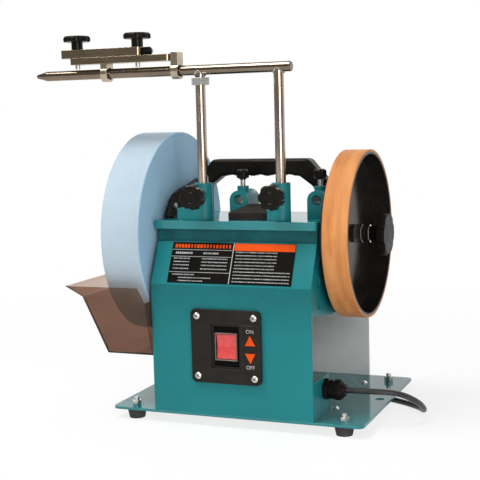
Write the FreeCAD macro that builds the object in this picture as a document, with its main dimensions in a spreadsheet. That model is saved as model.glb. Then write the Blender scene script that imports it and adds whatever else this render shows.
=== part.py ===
import FreeCAD, Part
import Sketcher
import math
import os
from types import SimpleNamespace

# Wet grinding sharpener: slow stone on the left, leather honing wheel on the right, motor box between.
# Working frame: X to the right along the base plate's front edge, Y to the back, Z up from its underside.
# Every piece is then shifted so that Z is 0 on the floor and X, Y are 0 in the middle of the object.

os.makedirs("parts", exist_ok=True)

SIZES = {
    # base plate and feet
    "base_w": 316.0,
    "base_d": 240.0,
    "base_t": 3.0,
    "base_corner": 8.0,
    "foot_h": 12.0,
    "foot_top_r": 12.0,
    "foot_low_r": 9.5,
    "foot_in_x": 26.0,
    "foot_in_front": 15.0,
    "foot_in_rear": 24.0,
    "bench_hole_r": 5.5,
    "bench_in_x": 13.0,
    "bench_y": 122.0,
    "nut_m6_af": 10.0,
    "nut_m6_h": 6.0,
    "stud_out": 10.0,
    # folded body
    "sheet_t": 2.0,
    "side_margin": 58.0,
    "front_h": 156.0,
    "slope_top": 205.0,
    "slope_set": 24.0,
    "neck_y": 26.0,
    "neck_top": 226.0,
    "rear_h": 100.0,
    "rear_top": 212.0,
    "rear_neck_y": 142.0,
    "seam_gap": 0.5,
    "left_plate_in": 6.0,
    "side_t": 3.0,
    "bracket_low": 111.0,
    "bracket_rise": 14.0,
    "bracket_deep": 91.0,
    # lid
    "lid_over": 2.0,
    "lid_front": 18.0,
    "lid_d": 127.0,
    "lid_h": 10.0,
    "lid_t": 4.0,
    # fits
    "run_gap": 0.05,
    "slip_gap": 0.3,
    "tip_gap": 0.4,
    # spindle
    "shaft_y": 110.0,
    "shaft_z": 208.0,
    "shaft_r": 6.0,
    "shaft_past_stone": 15.0,
    "shaft_past_hone": 38.0,
    "bush_r": 10.0,
    "bush_flange_r": 15.0,
    "bush_flange_t": 3.0,
    "stone_r": 125.0,
    "stone_out": 7.0,
    "stone_w": 50.0,
    "flange_r": 28.0,
    "flange_t": 4.0,
    "nut_af": 19.0,
    "nut_h": 9.0,
    "hone_r": 100.0,
    "hone_out": 10.0,
    "hone_w": 30.0,
    "leather_t": 2.5,
    "rim_t": 2.5,
    "web_x": 4.0,
    "web_t": 4.0,
    "hub_r": 11.0,
    "hub_len": 11.0,
    "hone_knob_r": 26.0,
    "hone_knob_t": 10.0,
    "knob_past_hone": 52.0,
    # friction drive and motor
    "drive_r": 85.0,
    "tyre_t": 5.0,
    "drive_w": 6.0,
    "drive_out": 3.0,
    "roller_r": 6.0,
    "motor_r": 50.0,
    "motor_wall": 3.0,
    "motor_in": 27.0,
    "motor_len": 120.0,
    "cap_t": 6.0,
    "stator_in": 26.0,
    "stator_from": 30.0,
    "stator_len": 60.0,
    "air_gap": 0.5,
    "motor_shaft_r": 5.0,
    "cradle_y": 70.0,
    "cradle_d": 80.0,
    "cradle_top": 95.0,
    "cradle_from": 5.0,
    "cradle_w": 110.0,
    "cradle_t": 4.0,
    "saddle_w": 12.0,
    "bolt_head_r": 5.0,
    "bolt_head_h": 4.0,
    "capacitor_r": 17.0,
    "capacitor_len": 60.0,
    # universal support
    "post_r": 6.0,
    "post_y": 36.0,
    "post_low": 180.0,
    "bar_z": 406.0,
    "bar_r": 6.0,
    "bar_left": -107.0,
    "bar_right": 228.0,
    "bar_taper": 14.0,
    "bar_tip_r": 2.5,
    "adjust_af": 20.0,
    "adjust_h": 8.5,
    "adjust_drop": 9.0,
    "sleeve_r": 11.0,
    "sleeve_top": 273.5,
    "boss_r": 8.0,
    "boss_out": 10.0,
    "sleeve_foot_h": 14.0,
    "sleeve_foot_left": 30.0,
    "sleeve_foot_right": 14.0,
    "screw_r": 3.0,
    "clamp_z": 259.0,
    "clamp_knob_r": 15.0,
    "clamp_knob_t": 11.0,
    "clamp_hub_r": 8.0,
    "clamp_hub_t": 6.0,
    "cross_y": 62.0,
    "cross_len": 40.0,
    "cross_z": 251.0,
    "cross_r": 11.5,
    "cross_screw_y": 78.0,
    "cross_boss_top": 267.0,
    "thumb_knob_r": 7.5,
    "thumb_knob_t": 10.5,
    "thumb_hub_r": 4.5,
    "thumb_hub_t": 1.5,
    "thumb_stem": 8.0,
    # handle and fittings on the lid
    "handle_y": 118.0,
    "handle_d": 24.0,
    "handle_in": 14.0,
    "handle_slope": 23.0,
    "handle_top": 298.0,
    "handle_knee": 272.0,
    "handle_leg": 16.0,
    "handle_grip_h": 21.0,
    "handle_round": 5.0,
    "scallop_r": 16.0,
    "scallop_in": 2.0,
    "guard_t": 3.0,
    "guard_foot": 12.0,
    "guard_y": 44.0,
    "guard_d": 94.0,
    "guard_h": 43.0,
    "pad_y": 34.0,
    "pad_d": 26.0,
    "pad_h": 8.5,
    "pad_rise": 8.5,
    "pad_cut": 18.0,
    # plates and switch
    "label_in": 21.0,
    "label_right_in": 24.0,
    "label_split": 78.5,
    "label_t": 0.8,
    "switch_off": 4.0,
    "switch_z": 85.5,
    "switch_plate_w": 87.0,
    "switch_plate_t": 4.0,
    "switch_corner": 6.0,
    "recess_w": 37.0,
    "recess_h": 53.0,
    "rocker_w": 24.0,
    "rocker_h": 29.0,
    "rocker_out": 3.0,
    "housing_w": 31.0,
    "housing_h": 47.0,
    "housing_d": 34.0,
    "pan_r": 4.0,
    "pan_h": 2.4,
    # cable gland and cord
    "gland_y": 44.0,
    "gland_z": 32.0,
    "gland_af": 22.0,
    "gland_len": 26.0,
    "gland_nut_r": 12.0,
    "cord_r": 3.5,
    "lip_d": 59.0,
    "lip_h": 44.0,
    "gland_thread_r": 8.0,
    "coil_x": 120.0,
    "coil_y": 335.0,
    "coil_turn_r": 47.0,
    "coil_gap": 0.8,
    "coil_lift": 1.5,
    "tie_t": 1.0,
    "tie_w": 8.0,
    "tie_slack": 0.4,
    "relief_len": 36.0,
    "plug_len": 36.0,
    "plug_w": 26.0,
    "pin_r": 2.4,
    "pin_len": 19.0,
    "pin_pitch": 14.0,
    # trough
    "trough_lip_x": -47.0,
    "trough_kink_x": -27.0,
    "trough_low_x": -4.0,
    "trough_clear": 1.5,
    "trough_lip_y": -21.0,
    "trough_kink_y": -15.0,
    "trough_low_y": 2.0,
    "trough_back_low": 206.0,
    "trough_back_kink": 228.0,
    "trough_back_lip": 234.0,
    "trough_low_z": 69.0,
    "trough_kink_z": 140.0,
    "trough_lip_z": 153.0,
    "trough_right_z": 134.0,
    "trough_t": 2.0,
    "rail_y": 84.0,
    "rail_w": 30.0,
    "rail_low": 14.0,
    "rail_top": 132.0,
    "tongue_w": 12.0,
    "tongue_flange": 22.0,
    "tongue_t": 2.2,
    "tongue_low": 80.0,
    "tongue_h": 48.0,
    "rail_lip": 1.5,
    # clamping jig
    "jig_d": 22.0,
    "jig_low_left": -55.5,
    "jig_low_right": 79.5,
    "jig_low_h": 8.0,
    "jig_low_z": 12.0,
    "jig_up_left": -68.0,
    "jig_up_right": 41.0,
    "jig_up_h": 10.0,
    "jig_knob_left": -49.5,
    "jig_knob_right": 33.0,
    "jig_knob_r": 16.5,
    "jig_knob_t": 7.0,
    "jig_hub_r": 7.0,
    "jig_hub_t": 9.7,
    "hook_left": -14.0,
    "hook_right": 80.0,
    "hook_w": 9.0,
    "hook_r": 9.8,
    "liner_r": 7.2,
    "cap_r": 5.0,
    "cap_len": 11.0,
}


class Size:
    """A length that carries its value and the spreadsheet expression it comes from."""

    def __init__(self, value, text):
        self.value = value
        self.text = text

    def __add__(self, other):
        other = size(other)
        return Size(self.value + other.value, "(%s + %s)" % (self.text, other.text))

    def __sub__(self, other):
        other = size(other)
        return Size(self.value - other.value, "(%s - %s)" % (self.text, other.text))

    def __mul__(self, other):
        other = size(other)
        return Size(self.value * other.value, "(%s * %s)" % (self.text, other.text))

    def __truediv__(self, other):
        other = size(other)
        return Size(self.value / other.value, "(%s / %s)" % (self.text, other.text))

    def __neg__(self):
        return Size(-self.value, "(0 - %s)" % self.text)

    def __radd__(self, other):
        return size(other) + self

    def __rsub__(self, other):
        return size(other) - self

    def __rmul__(self, other):
        return size(other) * self


def size(thing):
    return thing if isinstance(thing, Size) else Size(float(thing), "(%.6f)" % thing)


def root(thing):
    return Size(math.sqrt(thing.value), "sqrt(%s)" % thing.text)


doc = FreeCAD.newDocument("sharpener")
sheet = doc.addObject("Spreadsheet::Sheet", "Sizes")
for row, (alias, number) in enumerate(SIZES.items(), 1):
    sheet.set("A%d" % row, alias)
    sheet.set("B%d" % row, str(number))
    sheet.setAlias("B%d" % row, alias)
doc.recompute()
S = SimpleNamespace(**{alias: Size(number, "Sizes." + alias) for alias, number in SIZES.items()})

# The box stands between equal margins of the base plate, and all that it carries follows its width
S.body_x = S.side_margin
S.body_w = S.base_w - 2 * S.side_margin
body_right = S.body_x + S.body_w
body_mid = S.body_x + S.body_w / 2
S.left_plate_x = S.body_x + S.left_plate_in
S.lid_x = S.body_x - S.lid_over
S.lid_w = S.body_w + 2 * S.lid_over
S.stone_x = S.body_x - S.stone_out - S.stone_w
S.shaft_left = S.stone_x - S.shaft_past_stone
S.drive_x = body_right + S.drive_out
S.hone_x = body_right + S.hone_out
S.shaft_right = S.hone_x + S.shaft_past_hone
S.hone_knob_end = S.hone_x + S.knob_past_hone
S.motor_x = S.body_x + S.motor_in
S.stator_x = S.motor_x + S.stator_from
S.cradle_x = S.motor_x + S.cradle_from
S.post_left_x = S.body_x + S.body_w * 0.28
S.post_pitch = S.body_w * 0.49
S.cross_x = S.body_x + S.body_w * 0.45
S.pad_x = S.body_x + S.body_w * 0.44
S.pad_w = S.post_pitch / 2
S.handle_mid = body_mid
S.handle_half = S.body_w / 2 - S.handle_in
S.handle_top_half = S.handle_half - S.handle_slope
S.guard_x = S.body_x
S.label_x = S.body_x + S.label_in
S.label_w = S.body_w - S.label_in - S.label_right_in
S.switch_x = body_mid - S.switch_off
S.trough_wall_x = S.body_x - S.trough_clear

MID_X = (S.bar_left + S.hone_knob_end) / 2
MID_Y = (S.trough_lip_y + S.base_d) / 2
TURN = {
    "z": FreeCAD.Rotation(),
    "-z": FreeCAD.Rotation(FreeCAD.Vector(1, 0, 0), 180),
    "x": FreeCAD.Rotation(FreeCAD.Vector(0, 1, 0), 90),
    "-x": FreeCAD.Rotation(FreeCAD.Vector(0, 1, 0), -90),
    "y": FreeCAD.Rotation(FreeCAD.Vector(1, 0, 0), -90),
    "-y": FreeCAD.Rotation(FreeCAD.Vector(1, 0, 0), 90),
}
NODES = []


def bind(thing, prop, length):
    thing.setExpression(prop, size(length).text)


def put(thing, at, axis="z"):
    """Place a piece given in the working frame, with its own Z turned to the named axis."""
    thing.Placement = FreeCAD.Placement(FreeCAD.Vector(), TURN[axis])
    bind(thing, "Placement.Base.x", at[0] - MID_X)
    bind(thing, "Placement.Base.y", at[1] - MID_Y)
    bind(thing, "Placement.Base.z", at[2] + S.foot_h)
    return thing


def node(name, thing):
    thing.Label = name
    NODES.append(thing)
    return thing


def box(at, lx, ly, lz):
    solid = doc.addObject("Part::Box", "block")
    bind(solid, "Length", lx)
    bind(solid, "Width", ly)
    bind(solid, "Height", lz)
    return put(solid, at)


def rod(at, axis, radius, height):
    solid = doc.addObject("Part::Cylinder", "rod")
    bind(solid, "Radius", radius)
    bind(solid, "Height", height)
    return put(solid, at, axis)


def join(*pieces):
    whole = doc.addObject("Part::MultiFuse", "join")
    whole.Shapes = list(pieces)
    whole.Refine = True
    return whole


def cut(base, *tools):
    rest = doc.addObject("Part::Cut", "cut")
    rest.Base = base
    rest.Tool = tools[0] if len(tools) == 1 else group(*tools)
    rest.Refine = True
    return rest


def group(*pieces):
    many = doc.addObject("Part::Compound", "group")
    many.Links = list(pieces)
    return many


def new_body(at, axis="z"):
    return put(doc.addObject("PartDesign::Body", "body"), at, axis)


def new_sketch(body, plane="XY", offset=0):
    sketch = body.newObject("Sketcher::SketchObject", "profile")
    origin = [f for f in body.Origin.OriginFeatures if f.Role == plane + "_Plane"][0]
    sketch.AttachmentSupport = [(origin, "")]
    sketch.MapMode = "FlatFace"
    bind(sketch, "AttachmentOffset.Base.z", offset)
    return sketch


def fix_point(sketch, edge, end, at):
    """Tie one point of an edge to the sketch's origin by two named sizes."""
    for kind, length in (("DistanceX", at[0]), ("DistanceY", at[1])):
        length = size(length)
        index = sketch.addConstraint(Sketcher.Constraint(kind, -1, 1, edge, end, length.value))
        bind(sketch, "Constraints[%d]" % index, length)


def polygon(sketch, points):
    places = [FreeCAD.Vector(size(p[0]).value, size(p[1]).value, 0) for p in points]
    first = sketch.GeometryCount
    count = len(points)
    for i in range(count):
        sketch.addGeometry(Part.LineSegment(places[i], places[(i + 1) % count]))
    for i in range(count):
        after = first + (i + 1) % count
        sketch.addConstraint(Sketcher.Constraint("Coincident", first + i, 2, after, 1))
    for i in range(count):
        fix_point(sketch, first + i, 1, points[i])


def circle(sketch, centre, radius):
    radius = size(radius)
    place = FreeCAD.Vector(size(centre[0]).value, size(centre[1]).value, 0)
    edge = sketch.addGeometry(Part.Circle(place, FreeCAD.Vector(0, 0, 1), radius.value))
    fix_point(sketch, edge, 3, centre)
    index = sketch.addConstraint(Sketcher.Constraint("Radius", edge, radius.value))
    bind(sketch, "Constraints[%d]" % index, radius)


def pad(body, sketch, length, back=False):
    grown = body.newObject("PartDesign::Pad", "pad")
    grown.Profile = sketch
    bind(grown, "Length", length)
    grown.Reversed = back
    return grown


def pocket(body, sketch, length, back=False):
    taken = body.newObject("PartDesign::Pocket", "pocket")
    taken.Profile = sketch
    bind(taken, "Length", length)
    taken.Reversed = back
    return taken


def prism(at, plane, points, length, back=False):
    """Straight piece: a polygon drawn in a plane and grown along the plane's normal."""
    body = new_body(at)
    sketch = new_sketch(body, plane)
    polygon(sketch, points)
    pad(body, sketch, length, back)
    return body


def turned(at, axis, points):
    """Solid of revolution: points are (radius, height along the axis)."""
    body = new_body(at, axis)
    sketch = new_sketch(body, "XZ")
    polygon(sketch, points)
    spun = body.newObject("PartDesign::Revolution", "turn")
    spun.Profile = sketch
    spun.ReferenceAxis = (sketch, ["V_Axis"])
    spun.Angle = 360
    return body


def tube(at, axis, outer, inner, length):
    return turned(at, axis, [(inner, 0), (outer, 0), (outer, length), (inner, length)])


def hex_nut(at, axis, across, height, hole):
    body = new_body(at, axis)
    sketch = new_sketch(body)
    corner = across / 2 / math.cos(math.radians(30))
    polygon(sketch, [(corner * math.cos(math.radians(a)), corner * math.sin(math.radians(a)))
                     for a in range(0, 360, 60)])
    circle(sketch, (0, 0), hole)
    pad(body, sketch, height)
    return body


def star_knob(at, axis, stem_r, stem, hub_r, hub, head_r, head, lobes):
    """Lobed hand knob: screw from the tip at the origin, then hub, then head."""
    hub_end = stem + hub
    face = hub_end + head
    body = turned(at, axis, [
        (0, 0), (stem_r, 0), (stem_r, stem), (hub_r, stem), (hub_r, hub_end), (head_r - 1, hub_end),
        (head_r, hub_end + 1), (head_r, face - 2), (head_r - 2, face), (0, face)])
    sketch = new_sketch(body, "XY", face + 1)
    for i in range(lobes):
        angle = 2 * math.pi * i / lobes
        circle(sketch, (head_r * (1.18 * math.cos(angle)), head_r * (1.18 * math.sin(angle))), head_r * 0.32)
    pocket(body, sketch, head + 1.5)
    return body


def round_edges(body, axis, radius, chosen=None):
    """Fillet the body's straight edges that run along one axis."""
    doc.recompute()
    tip = body.Tip
    names = []
    for i, edge in enumerate(tip.Shape.Edges, 1):
        way = edge.Vertexes[-1].Point - edge.Vertexes[0].Point
        if way.Length > 0 and abs(way.normalize().dot(axis)) > 0.999:
            if chosen is None or chosen(edge.CenterOfMass):
                names.append("Edge%d" % i)
    soft = body.newObject("PartDesign::Fillet", "round")
    soft.Base = (tip, names)
    bind(soft, "Radius", radius)
    return body


ALONG_X = FreeCAD.Vector(1, 0, 0)
ALONG_Y = FreeCAD.Vector(0, 1, 0)
ALONG_Z = FreeCAD.Vector(0, 0, 1)
LID = S.neck_top + S.lid_t
POSTS = [S.post_left_x, S.post_left_x + S.post_pitch]
CROSS = [S.cross_x, S.cross_x + S.post_pitch]
FEET = [(x, y) for x in (S.foot_in_x, S.base_w - S.foot_in_x)
        for y in (S.foot_in_front, S.base_d - S.foot_in_rear)]
CRADLE_BOLTS = [(x, y) for x in (S.cradle_x + 7, S.cradle_x + S.cradle_w - 7)
                for y in (S.cradle_y + 10, S.cradle_y + S.cradle_d - 10)]
bolt_off = S.handle_half - S.handle_leg / 2
HANDLE_BOLTS = [S.handle_mid - bolt_off, S.handle_mid + bolt_off]

# Base plate with holes for the feet, the bench and the motor cradle
base = new_body((size(0), size(0), size(0)))
outline = new_sketch(base)
polygon(outline, [(0, 0), (S.base_w, 0), (S.base_w, S.base_d), (0, S.base_d)])
for place in FEET + CRADLE_BOLTS:
    circle(outline, place, S.screw_r + S.run_gap)
for x in (S.bench_in_x, S.base_w - S.bench_in_x):
    circle(outline, (x, S.bench_y), S.bench_hole_r)
pad(base, outline, S.base_t)
node("base_plate", round_edges(base, ALONG_Z, S.base_corner))

# Rubber feet, each held by a bolt from below and a nut on the plate
head_recess = S.bolt_head_h + 1
node("rubber_feet", group(*[turned((x, y, -S.foot_h), "z", [
    (S.bolt_head_r + 1, 0), (S.foot_low_r, 0), (S.foot_top_r, S.foot_h), (S.screw_r + S.run_gap, S.foot_h),
    (S.screw_r + S.run_gap, head_recess), (S.bolt_head_r + 1, head_recess)]) for x, y in FEET]))
node("foot_bolts", group(*[turned((x, y, 1 - S.foot_h), "z", [
    (0, 0), (S.bolt_head_r, 0), (S.bolt_head_r, S.bolt_head_h), (S.screw_r, S.bolt_head_h),
    (S.screw_r, S.foot_h - 1 + S.base_t + S.stud_out), (0, S.foot_h - 1 + S.base_t + S.stud_out)])
    for x, y in FEET]))
node("foot_nuts", group(*[hex_nut((x, y, S.base_t), "z", S.nut_m6_af, S.nut_m6_h, S.screw_r + S.run_gap)
                          for x, y in FEET]))

# Folded front: upright panel, slanted panel and neck under the lid
slant = S.slope_set / (S.slope_top - S.front_h)
slant_off = S.sheet_t * root(1 + slant * slant)
neck_in = S.neck_y + S.sheet_t
front = prism((S.body_x, size(0), size(0)), "YZ", [
    (0, S.base_t), (0, S.front_h), (S.slope_set, S.slope_top), (S.neck_y, S.slope_top),
    (S.neck_y, S.neck_top), (neck_in, S.neck_top),
    (neck_in, S.slope_top + (neck_in - S.slope_set - slant_off) / slant),
    (S.sheet_t, S.front_h + (S.sheet_t - slant_off) / slant), (S.sheet_t, S.base_t)], S.body_w)
PLATE_SCREWS = [(S.switch_x + i * (S.switch_plate_w / 2 - 8), S.switch_z + k * (S.switch_plate_w / 2 - 8))
                for i in (-1, 1) for k in (-1, 1)]
screw_holes = [rod((x, size(-10), z), "y", S.pan_r / 2 + S.run_gap, size(20)) for x, z in PLATE_SCREWS]
housing_low = (S.switch_x - S.housing_w / 2 - S.slip_gap, size(-10),
               S.switch_z - S.housing_h / 2 - S.slip_gap)
housing_hole = box(housing_low, S.housing_w + 2 * S.slip_gap, size(20), S.housing_h + 2 * S.slip_gap)
node("front_shell", cut(front, housing_hole, *screw_holes))

# Folded back with a slanted upper part and cooling slots
rear_run = (S.base_d - S.rear_neck_y - S.sheet_t) / (S.rear_top - S.rear_h)
rear_off = S.sheet_t * root(1 + rear_run * rear_run)
rear_in = S.rear_neck_y - S.sheet_t
back = prism((S.body_x, size(0), size(0)), "YZ", [
    (S.base_d, S.base_t), (S.base_d, S.rear_h), (S.rear_neck_y + S.sheet_t, S.rear_top),
    (S.rear_neck_y, S.rear_top), (S.rear_neck_y, S.neck_top), (rear_in, S.neck_top),
    (rear_in, S.rear_h + (S.base_d - rear_off - rear_in) / rear_run),
    (S.base_d - S.sheet_t, S.rear_h + (S.sheet_t - rear_off) / rear_run), (S.base_d - S.sheet_t, S.base_t)],
    S.body_w)
slots = [box((S.body_x + S.body_w / 10, S.base_d - 10, size(28 + 11 * i)), S.body_w * 0.45, size(20), size(5))
         for i in range(5)]
node("back_shell", cut(back, *slots))

# Side plates that carry the spindle bushes
seam = S.sheet_t + S.seam_gap
left_side = new_body((S.left_plate_x, size(0), size(0)))
outline = new_sketch(left_side, "YZ")
polygon(outline, [
    (seam, S.base_t), (seam, S.front_h), (neck_in + S.seam_gap, S.slope_top + 2),
    (neck_in + S.seam_gap, S.neck_top), (rear_in - S.seam_gap, S.neck_top),
    (rear_in - S.seam_gap, S.rear_top), (S.base_d - seam, S.rear_h - 1), (S.base_d - seam, S.base_t)])
circle(outline, (S.shaft_y, S.shaft_z), S.bush_r + S.run_gap)
pad(left_side, outline, S.side_t)
node("left_side_plate", left_side)

right_side = new_body((body_right - S.side_t, size(0), size(0)))
outline = new_sketch(right_side, "YZ")
polygon(outline, [
    (seam, S.bracket_low + S.bracket_rise), (S.bracket_deep, S.bracket_low),
    (S.bracket_deep, S.bracket_low + 40),
    (rear_in + 8, S.bracket_low + 76), (rear_in - S.seam_gap, S.rear_top - 8),
    (rear_in - S.seam_gap, S.neck_top), (neck_in + S.seam_gap, S.neck_top),
    (neck_in + S.seam_gap, S.slope_top + 2), (seam, S.front_h)])
circle(outline, (S.shaft_y, S.shaft_z), S.bush_r + S.run_gap)
pad(right_side, outline, S.side_t)
round_edges(right_side, ALONG_X, size(12),
            lambda c: c.y > S.bracket_deep.value - 1 and c.z < S.bracket_low.value + 1)
side_slots = [box((body_right - 10, size(24), S.bracket_low + 18 + 25.5 * i), size(20), size(9), size(11.5))
              for i in range(3)]
node("right_side_plate", cut(right_side, *side_slots))

lip_x = body_right - S.sheet_t
lip = join(box((lip_x, seam, S.base_t), S.sheet_t, S.lip_d, S.lip_h),
           box((lip_x - 20, seam, S.base_t), size(20), S.lip_d, S.sheet_t))
gland_hole = rod((lip_x - 5, S.gland_y, S.gland_z), "x", S.gland_thread_r + S.run_gap, size(12))
node("cord_bracket", cut(lip, gland_hole))

# Lid with a turned-down rim
lid = round_edges(prism((S.lid_x, S.lid_front, LID - S.lid_h), "XY", [
    (0, 0), (S.lid_w, 0), (S.lid_w, S.lid_d), (0, S.lid_d)], S.lid_h), ALONG_Z, size(3))
lid_room = box((S.lid_x + S.sheet_t, S.lid_front + S.sheet_t, LID - S.lid_h - 1), S.lid_w - 2 * S.sheet_t,
               S.lid_d - 2 * S.sheet_t, S.lid_h - S.lid_t + 1)
lid_holes = [rod((x, S.post_y, LID - 20), "z", S.post_r + S.slip_gap, size(40)) for x in POSTS]
lid_holes += [rod((x, S.handle_y, LID - 20), "z", S.screw_r + S.run_gap, size(40)) for x in HANDLE_BOLTS]
node("top_plate", cut(lid, lid_room, *lid_holes))


def post_sleeve(x, reach):
    """Upright sleeve with a foot to its left and a boss in front for the clamp screw."""
    whole = join(rod((x, S.post_y, LID), "z", S.sleeve_r, S.sleeve_top - LID),
                 box((x - reach, S.post_y - S.sleeve_r, LID), reach, 2 * S.sleeve_r, S.sleeve_foot_h),
                 rod((x, S.post_y, S.clamp_z), "-y", S.boss_r, S.sleeve_r + S.boss_out))
    return cut(whole, rod((x, S.post_y, LID - 5), "z", S.post_r + S.run_gap, S.sleeve_top - LID + 10),
               rod((x, S.post_y, S.clamp_z), "-y", S.screw_r + S.run_gap, S.sleeve_r + S.boss_out + 5))


def clamp_knob(x):
    stem = S.sleeve_r + S.boss_out - S.post_r - S.tip_gap + S.slip_gap
    return star_knob((x, S.post_y - S.post_r - S.tip_gap, S.clamp_z), "-y", S.screw_r, stem, S.clamp_hub_r,
                     S.clamp_hub_t, S.clamp_knob_r, S.clamp_knob_t, 7)


node("post_sleeve_left", post_sleeve(POSTS[0], S.sleeve_foot_left))
node("post_sleeve_right", post_sleeve(POSTS[1], S.sleeve_foot_right))
node("sleeve_knob_left", clamp_knob(POSTS[0]))
node("sleeve_knob_right", clamp_knob(POSTS[1]))


def cross_sleeve(x):
    """Level sleeve along Y on a block, with a boss on top for the thumb screw."""
    whole = join(rod((x, S.cross_y, S.cross_z), "y", S.cross_r, S.cross_len),
                 box((x - S.cross_r, S.cross_y, LID), 2 * S.cross_r, S.cross_len, S.cross_z - LID),
                 rod((x, S.cross_screw_y, S.cross_z), "z", S.boss_r - 1, S.cross_boss_top - S.cross_z))
    return cut(whole, rod((x, S.cross_y - 5, S.cross_z), "y", S.post_r + S.run_gap, S.cross_len + 10),
               rod((x, S.cross_screw_y, S.cross_z), "z", S.screw_r + S.run_gap,
                   S.cross_boss_top - S.cross_z + 5))


def thumb_knob(x):
    tip = S.cross_z + S.post_r + S.tip_gap
    return star_knob((x, S.cross_screw_y, tip), "z", S.screw_r, S.cross_boss_top - tip + S.thumb_stem,
                     S.thumb_hub_r, S.thumb_hub_t, S.thumb_knob_r, S.thumb_knob_t, 6)


node("cross_sleeves", group(*[cross_sleeve(x) for x in CROSS]))
node("cross_knob_left", thumb_knob(CROSS[0]))
node("cross_knob_right", thumb_knob(CROSS[1]))

# Carry handle: level grip, sloping shoulders and upright legs
far_left = S.handle_mid - S.handle_half
far_right = S.handle_mid + S.handle_half
handle = prism((size(0), S.handle_y + S.handle_d / 2, size(0)), "XZ", [
    (far_left, LID), (far_left, S.handle_knee), (S.handle_mid - S.handle_top_half, S.handle_top),
    (S.handle_mid + S.handle_top_half, S.handle_top), (far_right, S.handle_knee), (far_right, LID),
    (far_right - S.handle_leg, LID), (far_right - S.handle_leg, S.handle_knee - 9),
    (S.handle_mid + S.handle_top_half - 12, S.handle_top - S.handle_grip_h),
    (S.handle_mid - S.handle_top_half + 12, S.handle_top - S.handle_grip_h),
    (far_left + S.handle_leg, S.handle_knee - 9), (far_left + S.handle_leg, LID)], S.handle_d)
round_edges(handle, ALONG_Y, size(9), lambda c: c.z > LID.value + 1)
doc.recompute()
bent = handle.Tip
soft_names = [i for i, e in enumerate(bent.Shape.Edges, 1)
              if abs(abs(e.CenterOfMass.y + S.handle_d.value / 2) - S.handle_d.value / 2) < 0.01
              and e.CenterOfMass.z > LID.value + 0.5]
soft = handle.newObject("PartDesign::Fillet", "round")
soft.Base = (bent, ["Edge%d" % i for i in soft_names])
bind(soft, "Radius", S.handle_round)
scallop_z = S.handle_top - S.handle_grip_h - S.scallop_r + S.scallop_in
scallops = [rod((S.handle_mid + 19 * i, S.handle_y - S.handle_d, scallop_z), "y", S.scallop_r, 2 * S.handle_d)
            for i in (-2, -1, 0, 1, 2)]
bolt_holes = [rod((x, S.handle_y, LID - 5), "z", S.screw_r + S.run_gap, size(20)) for x in HANDLE_BOLTS]
node("carry_handle", cut(handle, *(scallops + bolt_holes)))


def hex_bolt(at, axis, length):
    tip = S.bolt_head_h + length
    return turned(at, axis, [(0, 0), (S.bolt_head_r, 0), (S.bolt_head_r, S.bolt_head_h),
                             (S.screw_r, S.bolt_head_h), (S.screw_r, tip), (0, tip)])


bolts = [hex_bolt((x, S.handle_y, S.neck_top - S.bolt_head_h), "z", S.lid_t + 14) for x in HANDLE_BOLTS]
bolts += [hex_bolt((x, y, S.base_t + S.cradle_t + S.bolt_head_h), "-z", S.base_t + S.cradle_t)
          for x, y in CRADLE_BOLTS]
node("m6_bolts", group(*bolts))

# Splash guard beside the stone
GUARD_CURVE = [(0, 0), (0, 0.09), (0.064, 0.28), (0.15, 0.5), (0.266, 0.66), (0.45, 0.77), (0.67, 0.84),
               (1, 1), (1, 0)]
guard_side = [(S.guard_d * a, S.guard_h * b) for a, b in GUARD_CURVE]
guard = join(prism((S.guard_x, S.guard_y, LID), "YZ", guard_side, S.guard_t),
             box((S.guard_x, S.guard_y, LID), S.guard_foot, S.guard_d, size(2)))
guard_screw = (S.guard_x + S.guard_t, S.guard_y + S.guard_d / 4, LID + S.guard_h * 0.3)
guard_hole = rod((S.guard_x - 2, guard_screw[1], guard_screw[2]), "x", S.pan_r / 2 + S.run_gap, size(10))
node("splash_guard", cut(guard, guard_hole))


def pan_screw(at, axis, length):
    """Pan head screw: the origin is under the head and the axis points out of the head."""
    return turned(at, axis, [(0, -length), (S.pan_r / 2, -length), (S.pan_r / 2, 0), (S.pan_r, 0),
                             (S.pan_r, S.pan_h * 0.5), (S.pan_r * 0.6, S.pan_h), (0, S.pan_h)])


pans = [pan_screw((x, -S.switch_plate_t, z), "-y", S.switch_plate_t + 4) for x, z in PLATE_SCREWS]
node("pan_screws", group(pan_screw(guard_screw, "x", S.guard_t), *pans))

# Tool rest pad: its top rises to the back and its left side is cut at a slant
pad_block = new_body((S.pad_x, S.pad_y, LID))
near = new_sketch(pad_block, "XZ")
polygon(near, [(0, 0), (S.pad_w, 0), (S.pad_w, S.pad_h), (0, S.pad_h)])
far = new_sketch(pad_block, "XZ", -S.pad_d)
pad_top = S.pad_h + S.pad_rise
polygon(far, [(S.pad_cut, 0), (S.pad_w, 0), (S.pad_w, pad_top), (S.pad_cut, pad_top)])
pad_loft = pad_block.newObject("PartDesign::AdditiveLoft", "loft")
pad_loft.Profile = near
pad_loft.Sections = [far]
pad_loft.Ruled = True
node("tool_pad", pad_block)

# Two thin plates on the slanted panel
slant_len = root(S.slope_set * S.slope_set + (S.slope_top - S.front_h) * (S.slope_top - S.front_h))
out_y = S.label_t * (S.slope_top - S.front_h) / slant_len
out_z = S.label_t * S.slope_set / slant_len


def on_slant(share, lift):
    return (S.slope_set * share - out_y * lift, S.front_h + (S.slope_top - S.front_h) * share + out_z * lift)


def label(x, width):
    return prism((x, size(0), size(0)), "YZ", [on_slant(0.05, 0), on_slant(0.97, 0), on_slant(0.97, 1),
                                               on_slant(0.05, 1)], width)


node("label_plates", group(label(S.label_x, S.label_split - 0.5),
                           label(S.label_x + S.label_split + 0.5, S.label_w - S.label_split - 0.5)))

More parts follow.
